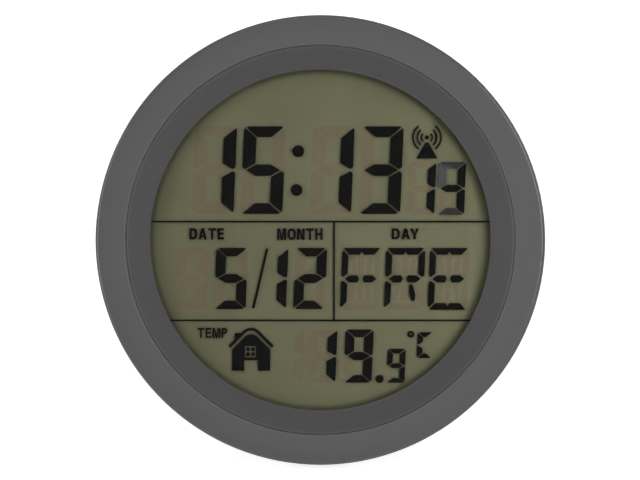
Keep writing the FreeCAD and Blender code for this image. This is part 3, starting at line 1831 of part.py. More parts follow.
# Silicone key mat on the board
mat = Piece("key_mat")
mat_half_width = S.button_pitch * BUTTON_STEPS[-1] + S.key_mat_margin
mat.raise_between(
    board_rear,
    board_rear + S.key_sheet,
    wide_box(
        mat_half_width,
        button_level - S.key_mat_half_height,
        button_level + S.key_mat_half_height,
    ),
)
mat.cut_between(
    board_rear,
    board_rear + S.key_sheet,
    *[("circle", x, z, S.key_hole_radius) for x, z in button_places],
)
finish("key_mat", mat.body)

# Four equal buttons: web, silicone pad, carbon pill and cap of each
button_top = clock_depth + S.button_stand
pad_front = pill_front + S.key_pill_thickness
mat_top = board_rear + S.key_sheet
for number, (x, z) in enumerate(button_places, start=1):
    web = Piece(f"key_web_{number}")
    web.turn([
        (S.key_hole_radius, mat_top - S.key_web),
        (S.key_hole_radius, mat_top),
        (S.key_radius, pad_front + 2 * S.key_web),
        (S.key_radius, pad_front + S.key_web),
    ])
    finish_at(f"key_web_{number}", web, x, z)

    pad = Piece(f"key_pad_{number}")
    pad.turn([
        (0, pad_front),
        (S.key_radius, pad_front),
        (S.key_radius, key_top),
        (0, key_top),
    ])
    finish_at(f"key_pad_{number}", pad, x, z)

    pill = Piece(f"contact_pill_{number}")
    pill.turn([
        (0, pill_front),
        (S.key_pill_radius, pill_front),
        (S.key_pill_radius, pad_front),
        (0, pad_front),
    ])
    finish_at(f"contact_pill_{number}", pill, x, z)

    cap = Piece(f"button_{number}")
    cap.turn([
        (0, key_top),
        (S.button_stem_radius, key_top),
        (S.button_stem_radius, button_flange_rear - S.button_flange_thickness),
        (S.button_flange_radius, button_flange_rear - S.button_flange_thickness),
        (S.button_flange_radius, button_flange_rear),
        (S.button_radius, button_flange_rear),
        (S.button_radius, button_top - S.button_edge),
        (S.button_radius - S.button_edge, button_top),
        (0, button_top),
    ])
    finish_at(f"button_{number}", cap, x, z)

# Four soft suction cups, each with a mushroom stem in its socket
collar_end = clock_depth + S.cup_collar_thickness
hollow_floor = cup_lip_depth - S.cup_hollow
bell_start = hollow_floor - S.cup_neck_radius
for number, (x, z) in enumerate(cup_places, start=1):
    cup = Piece(f"suction_cup_{number}")
    head_front = back_inside - S.cup_clearance - S.cup_head_thickness
    cup.turn([
        (0, head_front),
        (S.cup_head_radius * 0.6, head_front),
        (S.cup_head_radius, head_front + S.cup_head_thickness * 0.6),
        (S.cup_head_radius, head_front + S.cup_head_thickness),
        (S.cup_stem_radius, head_front + S.cup_head_thickness),
        (S.cup_stem_radius, clock_depth),
        (S.cup_collar_radius, clock_depth),
        (S.cup_collar_radius, collar_end),
        (S.cup_neck_radius, collar_end),
        (S.cup_neck_radius, bell_start),
        (S.cup_radius * 0.55, bell_start + S.cup_neck_radius * 0.75),
        (S.cup_radius, cup_lip_depth - S.cup_lip),
        (S.cup_radius, cup_lip_depth),
        (S.cup_radius - S.cup_lip, cup_lip_depth),
        (S.cup_radius * 0.5, hollow_floor + S.cup_hollow * 0.25),
        (0, hollow_floor),
    ])
    finish_at(f"suction_cup_{number}", cup, x, z)

# Fold-out stand, drawn folded with its axle on the x axis and its foot pointing up
stand = Piece("stand")
stand.raise_across(
    S.stand_half_width,
    [
        (stand_inner_offset, 0),
        (S.stand_face_offset, 0),
        (S.stand_face_offset, leaf_length),
        (stand_inner_offset, leaf_length),
    ],
)
stand.raise_across(S.stand_half_width, ("circle", stand_middle_offset, leaf_length, foot_radius))
stand.raise_across(S.stand_half_width, ("circle", 0, 0, S.stand_barrel_radius))
stand.raise_across(S.stand_half_width + S.axle_length, ("circle", 0, 0, S.axle_radius))
leaf_end = leaf_length + foot_radius
corner_start = leaf_end - S.stand_corner
foot_half_width = S.stand_half_width - S.stand_corner
outside = S.stand_half_width + S.stand_thickness
stand.cut_between(
    stand_inner_offset,
    S.stand_face_offset,
    *[
        [
            (side * foot_half_width, leaf_end),
            (side * S.stand_half_width, corner_start, side * S.stand_corner),
            (side * outside, corner_start),
            (side * outside, leaf_end + S.stand_thickness),
            (side * foot_half_width, leaf_end + S.stand_thickness),
        ]
        for side in (-1, 1)
    ],
)
stand.cut_between(
    S.stand_face_offset - S.stand_panel_depth,
    S.stand_face_offset,
    wide_box(
        S.stand_half_width - S.stand_panel_margin,
        S.stand_barrel_radius + S.stand_panel_margin,
        leaf_length - S.stand_panel_margin,
    ),
)
hinge = Placement(
    Vector(0, stand_axis_depth.value, stand_axis_level.value),
    Rotation(Vector(1, 0, 0), -S.stand_angle.value),
)
finish("stand", stand.body, LEAN.multiply(hinge))

doc.recompute()

for item in doc.Objects:
    if "Invalid" in item.State or "Error" in item.State:
        raise RuntimeError(f"{item.Label} failed: {item.State}")
for label, item in finished.items():
    if item.Label != label:
        raise RuntimeError(f"{label} was renamed to {item.Label}")
    if item.Shape.isNull() or not item.Shape.isValid():
        raise RuntimeError(f"{label} has no valid shape")
    if not item.Shape.Solids:
        raise RuntimeError(f"{label} has no solid")

os.makedirs("parts", exist_ok=True)
for label, item in finished.items():
    item.Shape.exportStep(f"parts/{label}.step")
print(len(finished), "sub-parts written")
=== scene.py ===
"""Looks of the round bathroom clock: its finishes, the words on its display, its screws, and the studio."""

import json
import math

import bmesh
import bpy
from mathutils import Matrix, Vector


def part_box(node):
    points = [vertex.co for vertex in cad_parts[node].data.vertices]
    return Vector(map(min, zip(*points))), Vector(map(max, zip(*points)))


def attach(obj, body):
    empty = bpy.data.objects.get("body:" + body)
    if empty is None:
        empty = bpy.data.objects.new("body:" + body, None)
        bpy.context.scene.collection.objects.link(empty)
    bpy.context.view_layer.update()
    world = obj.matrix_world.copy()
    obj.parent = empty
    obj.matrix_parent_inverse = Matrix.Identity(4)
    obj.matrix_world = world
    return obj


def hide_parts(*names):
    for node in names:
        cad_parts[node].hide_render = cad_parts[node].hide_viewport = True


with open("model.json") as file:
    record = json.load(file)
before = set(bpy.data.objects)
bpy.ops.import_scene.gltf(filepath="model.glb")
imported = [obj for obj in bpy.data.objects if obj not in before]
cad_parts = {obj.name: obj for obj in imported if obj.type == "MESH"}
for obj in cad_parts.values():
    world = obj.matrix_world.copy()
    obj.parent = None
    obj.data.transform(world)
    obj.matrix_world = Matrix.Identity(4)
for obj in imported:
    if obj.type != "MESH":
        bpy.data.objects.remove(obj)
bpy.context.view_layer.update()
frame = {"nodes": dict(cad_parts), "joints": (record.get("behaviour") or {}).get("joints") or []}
nodes = frame["nodes"]
scene = bpy.context.scene

MM = 0.001
WELD_DISTANCE = 0.001 * MM

# The face of the clock leans back. Face coordinates run right, up the face, and out of it to the viewer,
# from the middle of the window.
OUT = Vector(next(j["axis"] for j in frame["joints"] if j["name"] == "button_1_press")).normalized()
RIGHT = Vector((1, 0, 0))
UP = OUT.cross(RIGHT)
window_low, window_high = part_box("window_lens")
FACE = Matrix.Translation((window_low + window_high) / 2) @ Matrix((RIGHT, UP, OUT)).transposed().to_4x4()


def face_points(node):
    """The points of a CAD node in face coordinates."""
    to_face = FACE.inverted()
    return [to_face @ v.co for v in nodes[node].data.vertices]


def face_box(points):
    """Lowest and highest corner of some points."""
    low = Vector([min(p[i] for p in points) for i in range(3)])
    high = Vector([max(p[i] for p in points) for i in range(3)])
    return low, high


def solids(node):
    """The boxes in face coordinates of the separate solids of a CAD node, in the order of its vertices."""
    copy = bmesh.new()
    copy.from_mesh(nodes[node].data)
    bmesh.ops.remove_doubles(copy, verts=copy.verts, dist=WELD_DISTANCE)
    to_face = FACE.inverted()
    reached = set()
    found = []
    for first in copy.verts:
        if first in reached:
            continue
        reached.add(first)
        edge_of_island = [first]
        points = []
        while edge_of_island:
            vertex = edge_of_island.pop()
            points.append(to_face @ vertex.co)
            for edge in vertex.link_edges:
                other = edge.other_vert(vertex)
                if other not in reached:
                    reached.add(other)
                    edge_of_island.append(other)
        found.append(face_box(points))
    copy.free()
    return found


def new_object(name, data):
    """An object with this data, linked to the scene."""
    made = bpy.data.objects.new(name, data)
    scene.collection.objects.link(made)
    return made


def evaluated_mesh(holder):
    """A plain mesh of what an object comes to."""
    return bpy.data.meshes.new_from_object(holder.evaluated_get(bpy.context.evaluated_depsgraph_get()))


segment_low, segment_high = face_box(face_points("lcd_segments"))
segment_middle = (segment_low.z + segment_high.z) / 2


class Nodes:
    """A node tree with short calls. Shader nodes are named without the ShaderNode in front."""

    def __init__(self, tree):
        self.tree = tree

    def node(self, kind, inputs=(), **settings):
        """A new node, its inputs set to values or linked to sockets, or to each socket of a list."""
        made = self.tree.nodes.new(kind if "Node" in kind else "ShaderNode" + kind)
        for name, value in settings.items():
            setattr(made, name, value)
        for name, value in dict(inputs).items():
            for one in value if isinstance(value, list) else [value]:
                if isinstance(one, bpy.types.NodeSocket):
                    self.tree.links.new(one, made.inputs[name])
                else:
                    made.inputs[name].default_value = one
        return made

    def math(self, operation, *values):
        """The result of a calculation with these values."""
        return self.node("Math", dict(enumerate(values)), operation=operation).outputs[0]


# Materials

# The scale of the wave node that sets its bands about one unit apart
WAVE_SCALE = 1 / 3.14


class Finish(Nodes):
    """A node material with short calls for what the finishes share."""

    def __init__(self, name):
        self.material = bpy.data.materials.new(name)
        self.material.use_nodes = True
        super().__init__(self.material.node_tree)
        self.tree.nodes.clear()
        self.output = self.node("OutputMaterial")
        self.place = self.node("TexCoord").outputs["Object"]

    def turned(self, stretch=(1, 1, 1)):
        """Places on the object, turned to face coordinates and stretched."""
        turn = FACE.to_3x3().inverted().to_euler()
        squared = self.node("Mapping", {"Vector": self.place, "Rotation": turn})
        return self.node("Mapping", {"Vector": squared.outputs[0], "Scale": stretch}).outputs[0]

    def from_axis(self):
        """Distance from the axis of the face."""
        turn = FACE.to_3x3().inverted()
        squared = self.node(
            "Mapping",
            {"Vector": self.place, "Rotation": turn.to_euler(), "Location": -(turn @ FACE.translation)},
        )
        across = self.node("VectorMath", {0: squared.outputs[0], 1: (1, 1, 0)}, operation="MULTIPLY")
        return self.node("VectorMath", {0: across.outputs[0]}, operation="LENGTH").outputs["Value"]

    def from_spot(self, right, up):
        """Distance from a spot of the display, given in millimetres of the face."""
        spot = FACE @ Vector((right * MM, up * MM, segment_middle))
        return self.node("VectorMath", {0: self.place, 1: spot}, operation="DISTANCE").outputs["Value"]

    def noise(self, size, detail=2.0, where=None, roughness=0.5):
        """Soft random spots of about this size in millimetres."""
        return self.node(
            "TexNoise",
            {
                "Vector": where or self.place,
                "Scale": 1 / (size * MM),
                "Detail": detail,
                "Roughness": roughness,
            },
        ).outputs["Fac"]

    def bands(self, pitch):
        """Bands across the face at this pitch in millimetres."""
        return self.node(
            "TexWave",
            {"Vector": self.turned(), "Scale": WAVE_SCALE / (pitch * MM)},
            wave_type="BANDS",
            bands_direction="X",
        ).outputs["Fac"]

    def between(self, value, low, high, start=0.3, end=0.7):
        """Spreads start to end of a value over low to high."""
        return self.node(
            "MapRange",
            {"Value": value, "From Min": start, "From Max": end, "To Min": low, "To Max": high},
        ).outputs[0]

    def fade(self, value, low, high, start, end):
        """As between, but easing in and out."""
        return self.node(
            "MapRange",
            {"Value": value, "From Min": start, "From Max": end, "To Min": low, "To Max": high},
            interpolation_type="SMOOTHSTEP",
        ).outputs[0]

    def bump(self, height, depth):
        """Bumps of this depth in millimetres."""
        return self.node("Bump", {"Height": height, "Distance": depth * MM, "Strength": 1.0}).outputs[0]

    def tinted(self, amount, colour):
        """A colour times an amount. Mix nodes have several inputs of one name, so their type picks them."""
        mix = self.node("Mix", {0: 1.0}, data_type="RGBA", blend_type="MULTIPLY")
        first, second = [s for s in mix.inputs if s.type == "RGBA"]
        first.default_value = (*colour, 1)
        self.tree.links.new(amount, second)
        return next(s for s in mix.outputs if s.type == "RGBA")

    def steps(self, share, tones):
        """Sharp bands of colour over a share from 0 to 1, from where each starts and its colour."""
        made = self.node("ValToRGB", {"Fac": share})
        ramp = made.color_ramp
        ramp.interpolation = "CONSTANT"
        while len(ramp.elements) < len(tones):
            ramp.elements.new(0.5)
        for element, (start, tone) in zip(ramp.elements, tones):
            element.position = start
            element.color = (*tone, 1)
        return made.outputs["Color"]

    def over(self, share, below, above):
        """A mix of two shaders: this share of it is the one above."""
        return self.node("MixShader", {0: share, 1: below.outputs[0], 2: above.outputs[0]})

    def finish(self, shader):
        """The material, ended by this shader."""
        self.tree.links.new(shader.outputs[0], self.output.inputs["Surface"])
        return self.material

    def surface(self, inputs):
        """The material, ended by a principled shader with these inputs."""
        return self.finish(self.node("BsdfPrincipled", inputs))


GLOSS_SPREAD = 0.06


def moulded_plastic(name, colour, roughness, grain=0.35, depth=0.006, mottle=0.05, edge_light_and_gloss=()):
    """Injection moulded plastic with the fine spark-eroded grain of its mould and a slight flow mottle.

    Its tone and gloss change with the distance from the axis of the face, at its round edges and on its
    crown.
    The tone change is painted light: painted highlights along the edges and painted shade on the crown. The
    gloss change is a smoother surface there. Each change is the radius where it starts and the one where it
    is full, in millimetres, the share of the tone there and the roughness there.
    """
    made = Finish(name)
    flow = made.noise(9.0, 3.0)
    grains = made.noise(grain, 3.0, roughness=0.65)
    tone = made.between(flow, 1 - mottle, 1 + mottle)
    matt = made.between(grains, roughness - GLOSS_SPREAD, roughness + GLOSS_SPREAD)
    for start, full, paler, smooth in edge_light_and_gloss:
        edge_reach = made.fade(made.from_axis(), 0.0, 1.0, start * MM, full * MM)
        # This tone is painted light: above 1 it is a painted highlight, below 1 painted shade
        tone = made.math("MULTIPLY", tone, made.math("MULTIPLY_ADD", edge_reach, paler - 1, 1.0))
        matt = made.math("MULTIPLY_ADD", edge_reach, smooth - roughness, matt)
    return made.surface(
        {
            "Base Color": made.tinted(tone, colour),
            "Roughness": matt,
            "Normal": made.bump(grains, depth),
            "IOR": 1.5,
        }
    )


def soft_rubber(name, colour, roughness, grain):
    """Matte rubber or silicone with a dusty bloom."""
    made = Finish(name)
    bloom = made.noise(4.0, 4.0)
    grains = made.noise(grain, 2.0)
    return made.surface(
        {
            "Base Color": made.tinted(made.between(bloom, 0.88, 1.12), colour),
            "Roughness": made.between(grains, roughness - 0.08, roughness + 0.08),
            "Normal": made.bump(grains, 0.01),
            "Sheen Weight": 0.15,
            "Sheen Roughness": 0.5,
        }
    )


def plated_metal(name, colour, roughness=0.28):
    """Zinc or nickel plated steel with the fine scratches of handling."""
    made = Finish(name)
    scratches = made.noise(0.25, 3.0, where=made.turned((1, 12, 1)))
    patches = made.noise(2.0, 3.0)
    return made.surface(
        {
            "Base Color": made.tinted(made.between(patches, 0.86, 1.08), colour),
            "Metallic": 1.0,
            "Roughness": made.between(scratches, roughness - 0.08, roughness + 0.12),
            "Normal": made.bump(scratches, 0.004),
        }
    )


SMEARED_SHARE = 2.5
MIRROR_POWER = 5.0


def clear_pane(name, tint, head_on_mirror, roughness=0.02):
    """A clear flat pane: it passes what is behind it and mirrors more towards the edge of sight."""
    made = Finish(name)
    through = made.node("BsdfTransparent", {"Color": (*tint, 1)})
    smear = made.noise(14.0, 3.0)
    mirror = made.node(
        "BsdfGlossy",
        {"Color": (1, 1, 1, 1), "Roughness": made.between(smear, roughness, roughness * SMEARED_SHARE)},
    )
    facing = made.node("LayerWeight", {"Blend": 0.5}).outputs["Facing"]
    steep = made.math("POWER", facing, MIRROR_POWER)
    share = made.math("MULTIPLY_ADD", steep, 1 - head_on_mirror, head_on_mirror)
    return made.finish(made.over(share, through, mirror))


def sealed_glass(name, tint):
    """Glass that is bonded between others, so that its faces don't mirror."""
    made = Finish(name)
    return made.finish(made.node("BsdfTransparent", {"Color": (*tint, 1)}))


def crystal(name, colour, cover, paler=None):
    """A display segment: the liquid crystal hides what is behind it by its cover.

    Near one place it may be paler: right, up, where this starts to fade and where it ends, in millimetres,
    and how many times paler.
    """
    made = Finish(name)
    tone = made.between(made.noise(0.6, 2.0), 0.9, 1.1)
    if paler:
        right, up, near, far, times = paler
        lift = made.between(made.from_spot(right, up), times, 1.0, near * MM, far * MM)
        tone = made.math("MULTIPLY", tone, lift)
    ink = made.node(
        "BsdfPrincipled",
        {"Base Color": made.tinted(tone, colour), "Roughness": 0.6, "Specular IOR Level": 0.0},
    )
    if cover >= 1:
        return made.finish(ink)
    through = made.node("BsdfTransparent", {"Color": (1, 1, 1, 1)})
    return made.finish(made.over(cover, through, ink))


def reflector(name, colour, clear_radius, edge_radius, painted_border_shade, painted_side_light):
    """Reflector film: upright drawing streaks, painted shade along its border, and painted light paler
    towards the right.
    """
    made = Finish(name)
    streaks = made.noise(0.8, 3.0, where=made.turned((1, 0.02, 1)))
    clouds = made.noise(30.0, 2.0)
    edge = edge_radius * MM
    sideways = made.node("SeparateXYZ", {0: made.place}).outputs["X"]
    tone = made.between(streaks, 0.975, 1.025)
    # Random clouds, then painted shade darkening the border, then painted light from the left to the right
    for share in (
        made.between(clouds, 0.97, 1.03),
        made.fade(made.from_spot(0, 0), 1.0, painted_border_shade, clear_radius * MM, edge),
        made.between(sideways, *painted_side_light, -edge, edge),
    ):
        tone = made.math("MULTIPLY", tone, share)
    return made.surface(
        {
            "Base Color": made.tinted(tone, colour),
            "Roughness": made.between(clouds, 0.43, 0.47),
            "Metallic": 0.65,
        }
    )


def circuit_board(name):
    """Green solder mask with darker traces under it."""
    made = Finish(name)
    traces = made.node(
        "TexBrick",
        {
            "Vector": made.turned(),
            "Color1": (0.02, 0.16, 0.06, 1),
            "Color2": (0.018, 0.14, 0.052, 1),
            "Mortar": (0.04, 0.24, 0.09, 1),
            "Scale": 60.0,
            "Mortar Size": 0.006,
        },
    )
    return made.surface(
        {
            "Base Color": traces.outputs["Color"],
            "Roughness": made.between(made.noise(1.5, 2.0), 0.25, 0.4),
            "Coat Weight": 0.3,
            "Coat Roughness": 0.15,
        }
    )


def striped_rubber(name):
    """Connector strip: thin black conducting layers between pink ones."""
    made = Finish(name)
    layers = made.steps(made.bands(0.5), ((0.0, (0.02, 0.02, 0.02)), (0.5, (0.7, 0.36, 0.36))))
    return made.surface({"Base Color": layers, "Roughness": 0.6})


def clear_vinyl(name):
    """Soft clear vinyl: a little milk, more of it where it is seen edge on, under a wet gloss."""
    made = Finish(name)
    cloud = made.noise(7.0, 2.0)
    through = made.node("BsdfTransparent", {"Color": (0.9, 0.92, 0.92, 1)})
    milk = made.node(
        "BsdfPrincipled",
        {
            "Base Color": made.tinted(made.between(cloud, 0.95, 1.05), (0.5, 0.54, 0.54)),
            "Roughness": made.between(cloud, 0.22, 0.32),
            "IOR": 1.5,
        },
    )
    edge = made.node("LayerWeight", {"Blend": 0.35}).outputs["Facing"]
    clouded = made.over(made.between(edge, 0.16, 0.75, 0.0, 1.0), through, milk)
    wet = made.node(
        "BsdfGlossy", {"Color": (1, 1, 1, 1), "Roughness": made.between(cloud, 0.04, 0.1)}
    )
    shine = made.node("LayerWeight", {"Blend": 0.2}).outputs["Fresnel"]
    return made.finish(made.over(made.between(shine, 0.03, 0.5, 0.0, 1.0), clouded, wet))


def wound_wire(name):
    """Enamelled copper wire, wound turn by turn along the rod."""
    made = Finish(name)
    turns = made.bands(0.8)
    return made.surface(
        {
            "Base Color": made.tinted(made.between(turns, 0.45, 1.0, 0.0, 1.0), (0.72, 0.34, 0.16)),
            "Metallic": 0.9,
            "Roughness": 0.32,
            "Normal": made.bump(turns, 0.15),
            "Coat Weight": 0.3,
        }
    )


# The bands of a cell are spread from contact to contact, this far to either side of the middle
CELL_REACH = 25 * MM
# From the minus end on: where a band starts, its colour and how metallic it is
CELL_BANDS = (
    (0.0, (0.6, 0.6, 0.58), 1.0),
    (0.125, (0.03, 0.14, 0.09), 0.0),
    (0.74, (0.62, 0.3, 0.14), 0.5),
    (0.965, (0.6, 0.6, 0.58), 1.0),
)


def cell_wrap(name, way):
    """A dry cell: green wrap, a copper band near the plus end, and bare metal at both ends."""
    made = Finish(name)
    along = made.node("SeparateXYZ", {"Vector": made.place}).outputs["X"]
    share = made.between(along, 0.0, 1.0, -CELL_REACH * way, CELL_REACH * way)
    scuffs = made.noise(0.5, 3.0, where=made.turned((0.15, 1, 1)))
    return made.surface(
        {
            "Base Color": made.steps(share, [(start, colour) for start, colour, _ in CELL_BANDS]),
            "Metallic": made.steps(share, [(start, (metal,) * 3) for start, _, metal in CELL_BANDS]),
            "Roughness": made.between(scuffs, 0.22, 0.36),
            "Normal": made.bump(scuffs, 0.003),
        }
    )


def glossy_resin(name):
    """The drop of black resin that seals a chip, a little dusty."""
    made = Finish(name)
    dust = made.noise(0.8, 3.0)
    return made.surface(
        {
            "Base Color": made.tinted(made.between(dust, 0.8, 1.3), (0.012, 0.012, 0.012)),
            "Roughness": made.between(dust, 0.12, 0.3),
        }
    )


# Painted highlight and more gloss on the inner edge of the ring, painted shade on its crown, painted
# highlight and more gloss on its outer edge, and painted highlight and more gloss on the outer edge of the
# bezel
RING_EDGE_LIGHT_AND_GLOSS = ((74.35, 73.82, 1.7, 0.35), (76.0, 83.0, 0.9, 0.56), (83.4, 83.8, 1.1, 0.2))
BEZEL_EDGE_LIGHT_AND_GLOSS = ((72.3, 73.6, 1.75, 0.35),)
# One of the fading segments is paler: its place and reach, and how much
FADING_SPOT = (46.6, 23.5, 4.4, 5.4, 2.0)

FINISHES = {
    "ring_plastic": moulded_plastic(
        "satin_ring", (0.087, 0.087, 0.088), 0.56, mottle=0.02, edge_light_and_gloss=RING_EDGE_LIGHT_AND_GLOSS
    ),
    "bezel_plastic": moulded_plastic(
        "matte_bezel", (0.049, 0.049, 0.05), 0.6, mottle=0.02, edge_light_and_gloss=BEZEL_EDGE_LIGHT_AND_GLOSS
    ),
    "housing_plastic": moulded_plastic("textured_back", (0.078, 0.078, 0.08), 0.6, grain=0.6, depth=0.02),
    "button_plastic": moulded_plastic("button_grey", (0.3, 0.3, 0.31), 0.36, grain=0.3),
    "window_acrylic": clear_pane("clear_window", (0.985, 0.99, 0.985), 0.039),
    "display_glass": sealed_glass("display_pane", (0.985, 0.99, 0.98)),
    "polariser_film": clear_pane("polariser", (0.95, 0.955, 0.93), 0.02, 0.06),
    "dark_segments": crystal("dark_crystal", (0.0175, 0.0165, 0.0185), 1.0),
    "fading_segments": crystal("fading_crystal", (0.08, 0.076, 0.092), 1.0, FADING_SPOT),
    "unlit_segments": crystal("unlit_crystal", (0.8, 0.2, 0.26), 0.04),
    # Its border is darkened to half by painted shade, and painted light runs from dim on the left to pale on
    # the right
    "reflector_film": reflector(
        "olive_reflector", (0.264, 0.241, 0.176), 61.9, 64.4, 0.5, (0.915, 1.115)
    ),
    "white_plastic": moulded_plastic("white_carrier", (0.72, 0.72, 0.69), 0.5),
    "zebra_rubber": striped_rubber("striped_strip"),
    "black_foam": soft_rubber("black_foam", (0.02, 0.02, 0.02), 0.9, 0.3),
    "circuit_board": circuit_board("green_board"),
    "black_resin": glossy_resin("black_drop"),
    "component_ceramic": soft_rubber("tan_ceramic", (0.45, 0.38, 0.3), 0.5, 0.3),
    "ferrite": soft_rubber("dull_ferrite", (0.03, 0.03, 0.035), 0.7, 0.4),
    "copper_wire": wound_wire("copper_turns"),
    "silicone": soft_rubber("grey_silicone", (0.35, 0.35, 0.35), 0.6, 0.5),
    "carbon_rubber": soft_rubber("carbon_pill", (0.02, 0.02, 0.02), 0.8, 0.3),
    "clear_vinyl": clear_vinyl("clear_vinyl"),
    "plated_steel": plated_metal("zinc_plate", (0.62, 0.62, 0.6)),
    "contact_metal": plated_metal("nickel_spring", (0.7, 0.69, 0.66), 0.22),
    "cell_jacket": cell_wrap("cell_plus_right", 1),
}

for piece in nodes.values():
    for place in piece.material_slots:
        place.material = FINISHES[place.material.name.split(".")[0]]
nodes["battery_cell_2"].material_slots[0].material = cell_wrap("cell_plus_left", -1)


# Words on the display

def mesh_piece(name, mesh, body, slot):
    """A finished piece at the origin that rides on a body."""
    piece = new_object(name, mesh)
    mesh.materials.clear()
    mesh.materials.append(FINISHES[slot])
    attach(piece, body)
    return piece


# Plain condensed capitals. Their outlines are in heights of a capital.
LETTER_GAP = 0.13
CORNER_STEPS = 6
LETTER_WIDTHS = {
    "A": 0.76, "D": 0.70, "E": 0.60, "H": 0.69, "M": 0.85,
    "N": 0.71, "O": 0.76, "P": 0.62, "T": 0.72, "Y": 0.78,
}
CLOSER_PAIRS = {"AY": 0.13}


def rounded_box(left, low, right, high, left_round, right_round):
    """A box whose left and right corners are rounded by their own radii."""
    points = []
    for x, y, start, radius in (
        (right, low, -90, right_round),
        (right, high, 0, right_round),
        (left, high, 90, left_round),
        (left, low, 180, left_round),
    ):
        if radius == 0:
            points.append((x, y))
            continue
        centre_x = x - radius if x == right else x + radius
        centre_y = y - radius if y == high else y + radius
        for step in range(CORNER_STEPS + 1):
            turn = math.radians(start + 90 * step / CORNER_STEPS)
            points.append((centre_x + radius * math.cos(turn), centre_y + radius * math.sin(turn)))
    return points


def letter_outlines(letter, s):
    """The outer outline of a capital with this stroke, and its holes."""
    w = LETTER_WIDTHS[letter]
    middle = w / 2
    left, right = middle - s / 2, middle + s / 2
    if letter == "A":
        leg = 1.05 * s
        lean = middle - 0.6 * s
        bar_low, bar_high = 0.2, 0.2 + 0.85 * s
        inner_top = (middle - leg) / lean
        outer = [
            (0, 0), (lean, 1), (w - lean, 1), (w, 0), (w - leg, 0),
            (w - leg - lean * bar_low, bar_low), (leg + lean * bar_low, bar_low), (leg, 0),
        ]
        hole = [
            (leg + lean * bar_high, bar_high), (w - leg - lean * bar_high, bar_high), (middle, inner_top)
        ]
        return [outer, hole]
    if letter == "D":
        bowl = 0.36
        return [rounded_box(0, 0, w, 1, 0, bowl), rounded_box(s, s, w - s, 1 - s, 0, bowl - s)]
    if letter == "E":
        arm = 0.5 + 0.1 * s
        short = 0.93 * w
        return [[
            (0, 0), (0, 1), (w, 1), (w, 1 - s), (s, 1 - s), (s, arm + s / 2), (short, arm + s / 2),
            (short, arm - s / 2), (s, arm - s / 2), (s, s), (w, s), (w, 0),
        ]]
    if letter == "H":
        return [[
            (0, 0), (0, 1), (s, 1), (s, 0.5 + s / 2), (w - s, 0.5 + s / 2), (w - s, 1), (w, 1), (w, 0),
            (w - s, 0), (w - s, 0.5 - s / 2), (s, 0.5 - s / 2), (s, 0),
        ]]
    if letter == "M":
        return [[
            (0, 0), (0, 1), (1.35 * s, 1), (middle, 0.3), (w - 1.35 * s, 1), (w, 1), (w, 0), (w - s, 0),
            (w - s, 0.68), (middle + 0.45 * s, 0), (middle - 0.45 * s, 0), (s, 0.68), (s, 0),
        ]]
    if letter == "N":
        return [[
            (0, 0), (0, 1), (1.2 * s, 1), (w - s, 0.34), (w - s, 1), (w, 1), (w, 0), (w - 1.2 * s, 0),
            (s, 0.66), (s, 0),
        ]]
    if letter == "O":
        inner = middle - s
        return [rounded_box(0, 0, w, 1, middle, middle), rounded_box(s, s, w - s, 1 - s, inner, inner)]
    if letter == "P":
        foot = 0.4
        bowl = 0.27
        outer = rounded_box(0, foot, w, 1, 0, bowl)
        return [
            outer[:-1] + [(0, 0), (s, 0), (s, foot)],
            rounded_box(s, foot + s, w - s, 1 - s, 0, bowl - s),
        ]
    if letter == "T":
        return [[
            (0, 1), (w, 1), (w, 1 - s), (right, 1 - s), (right, 0), (left, 0), (left, 1 - s), (0, 1 - s),
        ]]
    return [[
        (0, 1), (1.2 * s, 1), (middle, 0.53), (w - 1.2 * s, 1), (w, 1), (right, 0.4), (right, 0), (left, 0),
        (left, 0.4),
    ]]


def flat_mesh(name, outlines, half_thickness):
    """A flat plate with holes, from its outlines."""
    curve = bpy.data.curves.new(name, "CURVE")
    curve.dimensions = "2D"
    curve.fill_mode = "BOTH"
    curve.extrude = half_thickness
    for outline in outlines:
        spline = curve.splines.new("POLY")
        spline.points.add(len(outline) - 1)
        for point, (x, y) in zip(spline.points, outline):
            point.co = (x, y, 0, 1)
        spline.use_cyclic_u = True
    holder = new_object(name, curve)
    mesh = evaluated_mesh(holder)
    bpy.data.objects.remove(holder)
    return mesh


# Left, right, low and high edge in millimetres, and the stroke in heights
CAPTIONS = {
    "DATE": (-49.52, -36.45, 0.17, 4.5, 0.215),
    "MONTH": (-16.36, 0.85, 0.02, 4.43, 0.21),
    "DAY": (26.97, 37.4, 0.25, 4.4, 0.21),
    "TEMP": (-46.45, -35.2, -37.05, -33.26, 0.19),
}


def caption_mesh(word, left, right, low, high, stroke):
    """A word fitted between four edges in millimetres of the face."""
    outlines = []
    reach = 0.0
    for letter, following in zip(word, word[1:] + " "):
        for outline in letter_outlines(letter, stroke):
            outlines.append([(reach + x, y) for x, y in outline])
        reach += LETTER_WIDTHS[letter] + LETTER_GAP - CLOSER_PAIRS.get(letter + following, 0.0)
    mesh = flat_mesh(word, outlines, (segment_high.z - segment_low.z) / 2)
    across = (right - left) * MM / (reach - LETTER_GAP)
    upright = (high - low) * MM
    fit = Matrix.Translation((left * MM, low * MM, segment_middle)) @ Matrix.Diagonal((across, upright, 1, 1))
    mesh.transform(FACE @ fit)
    return mesh


for word, edges in CAPTIONS.items():
    mesh_piece("caption_" + word.lower(), caption_mesh(word, *edges), "case", "dark_segments")


# Marks printed on the tops of the buttons: up, down, mode and radio search

INK_THICKNESS = 0.06
INK_SUNK = 0.02
BAND_STEPS = 16
DISC_STEPS = 32
WAVE_SPREAD = 100


def arc(radius, start, spread, steps):
    """Points along an arc in degrees, one more than its steps."""
    turns = [math.radians(start + spread * step / steps) for step in range(steps + 1)]
    return [(radius * math.cos(turn), radius * math.sin(turn)) for turn in turns]


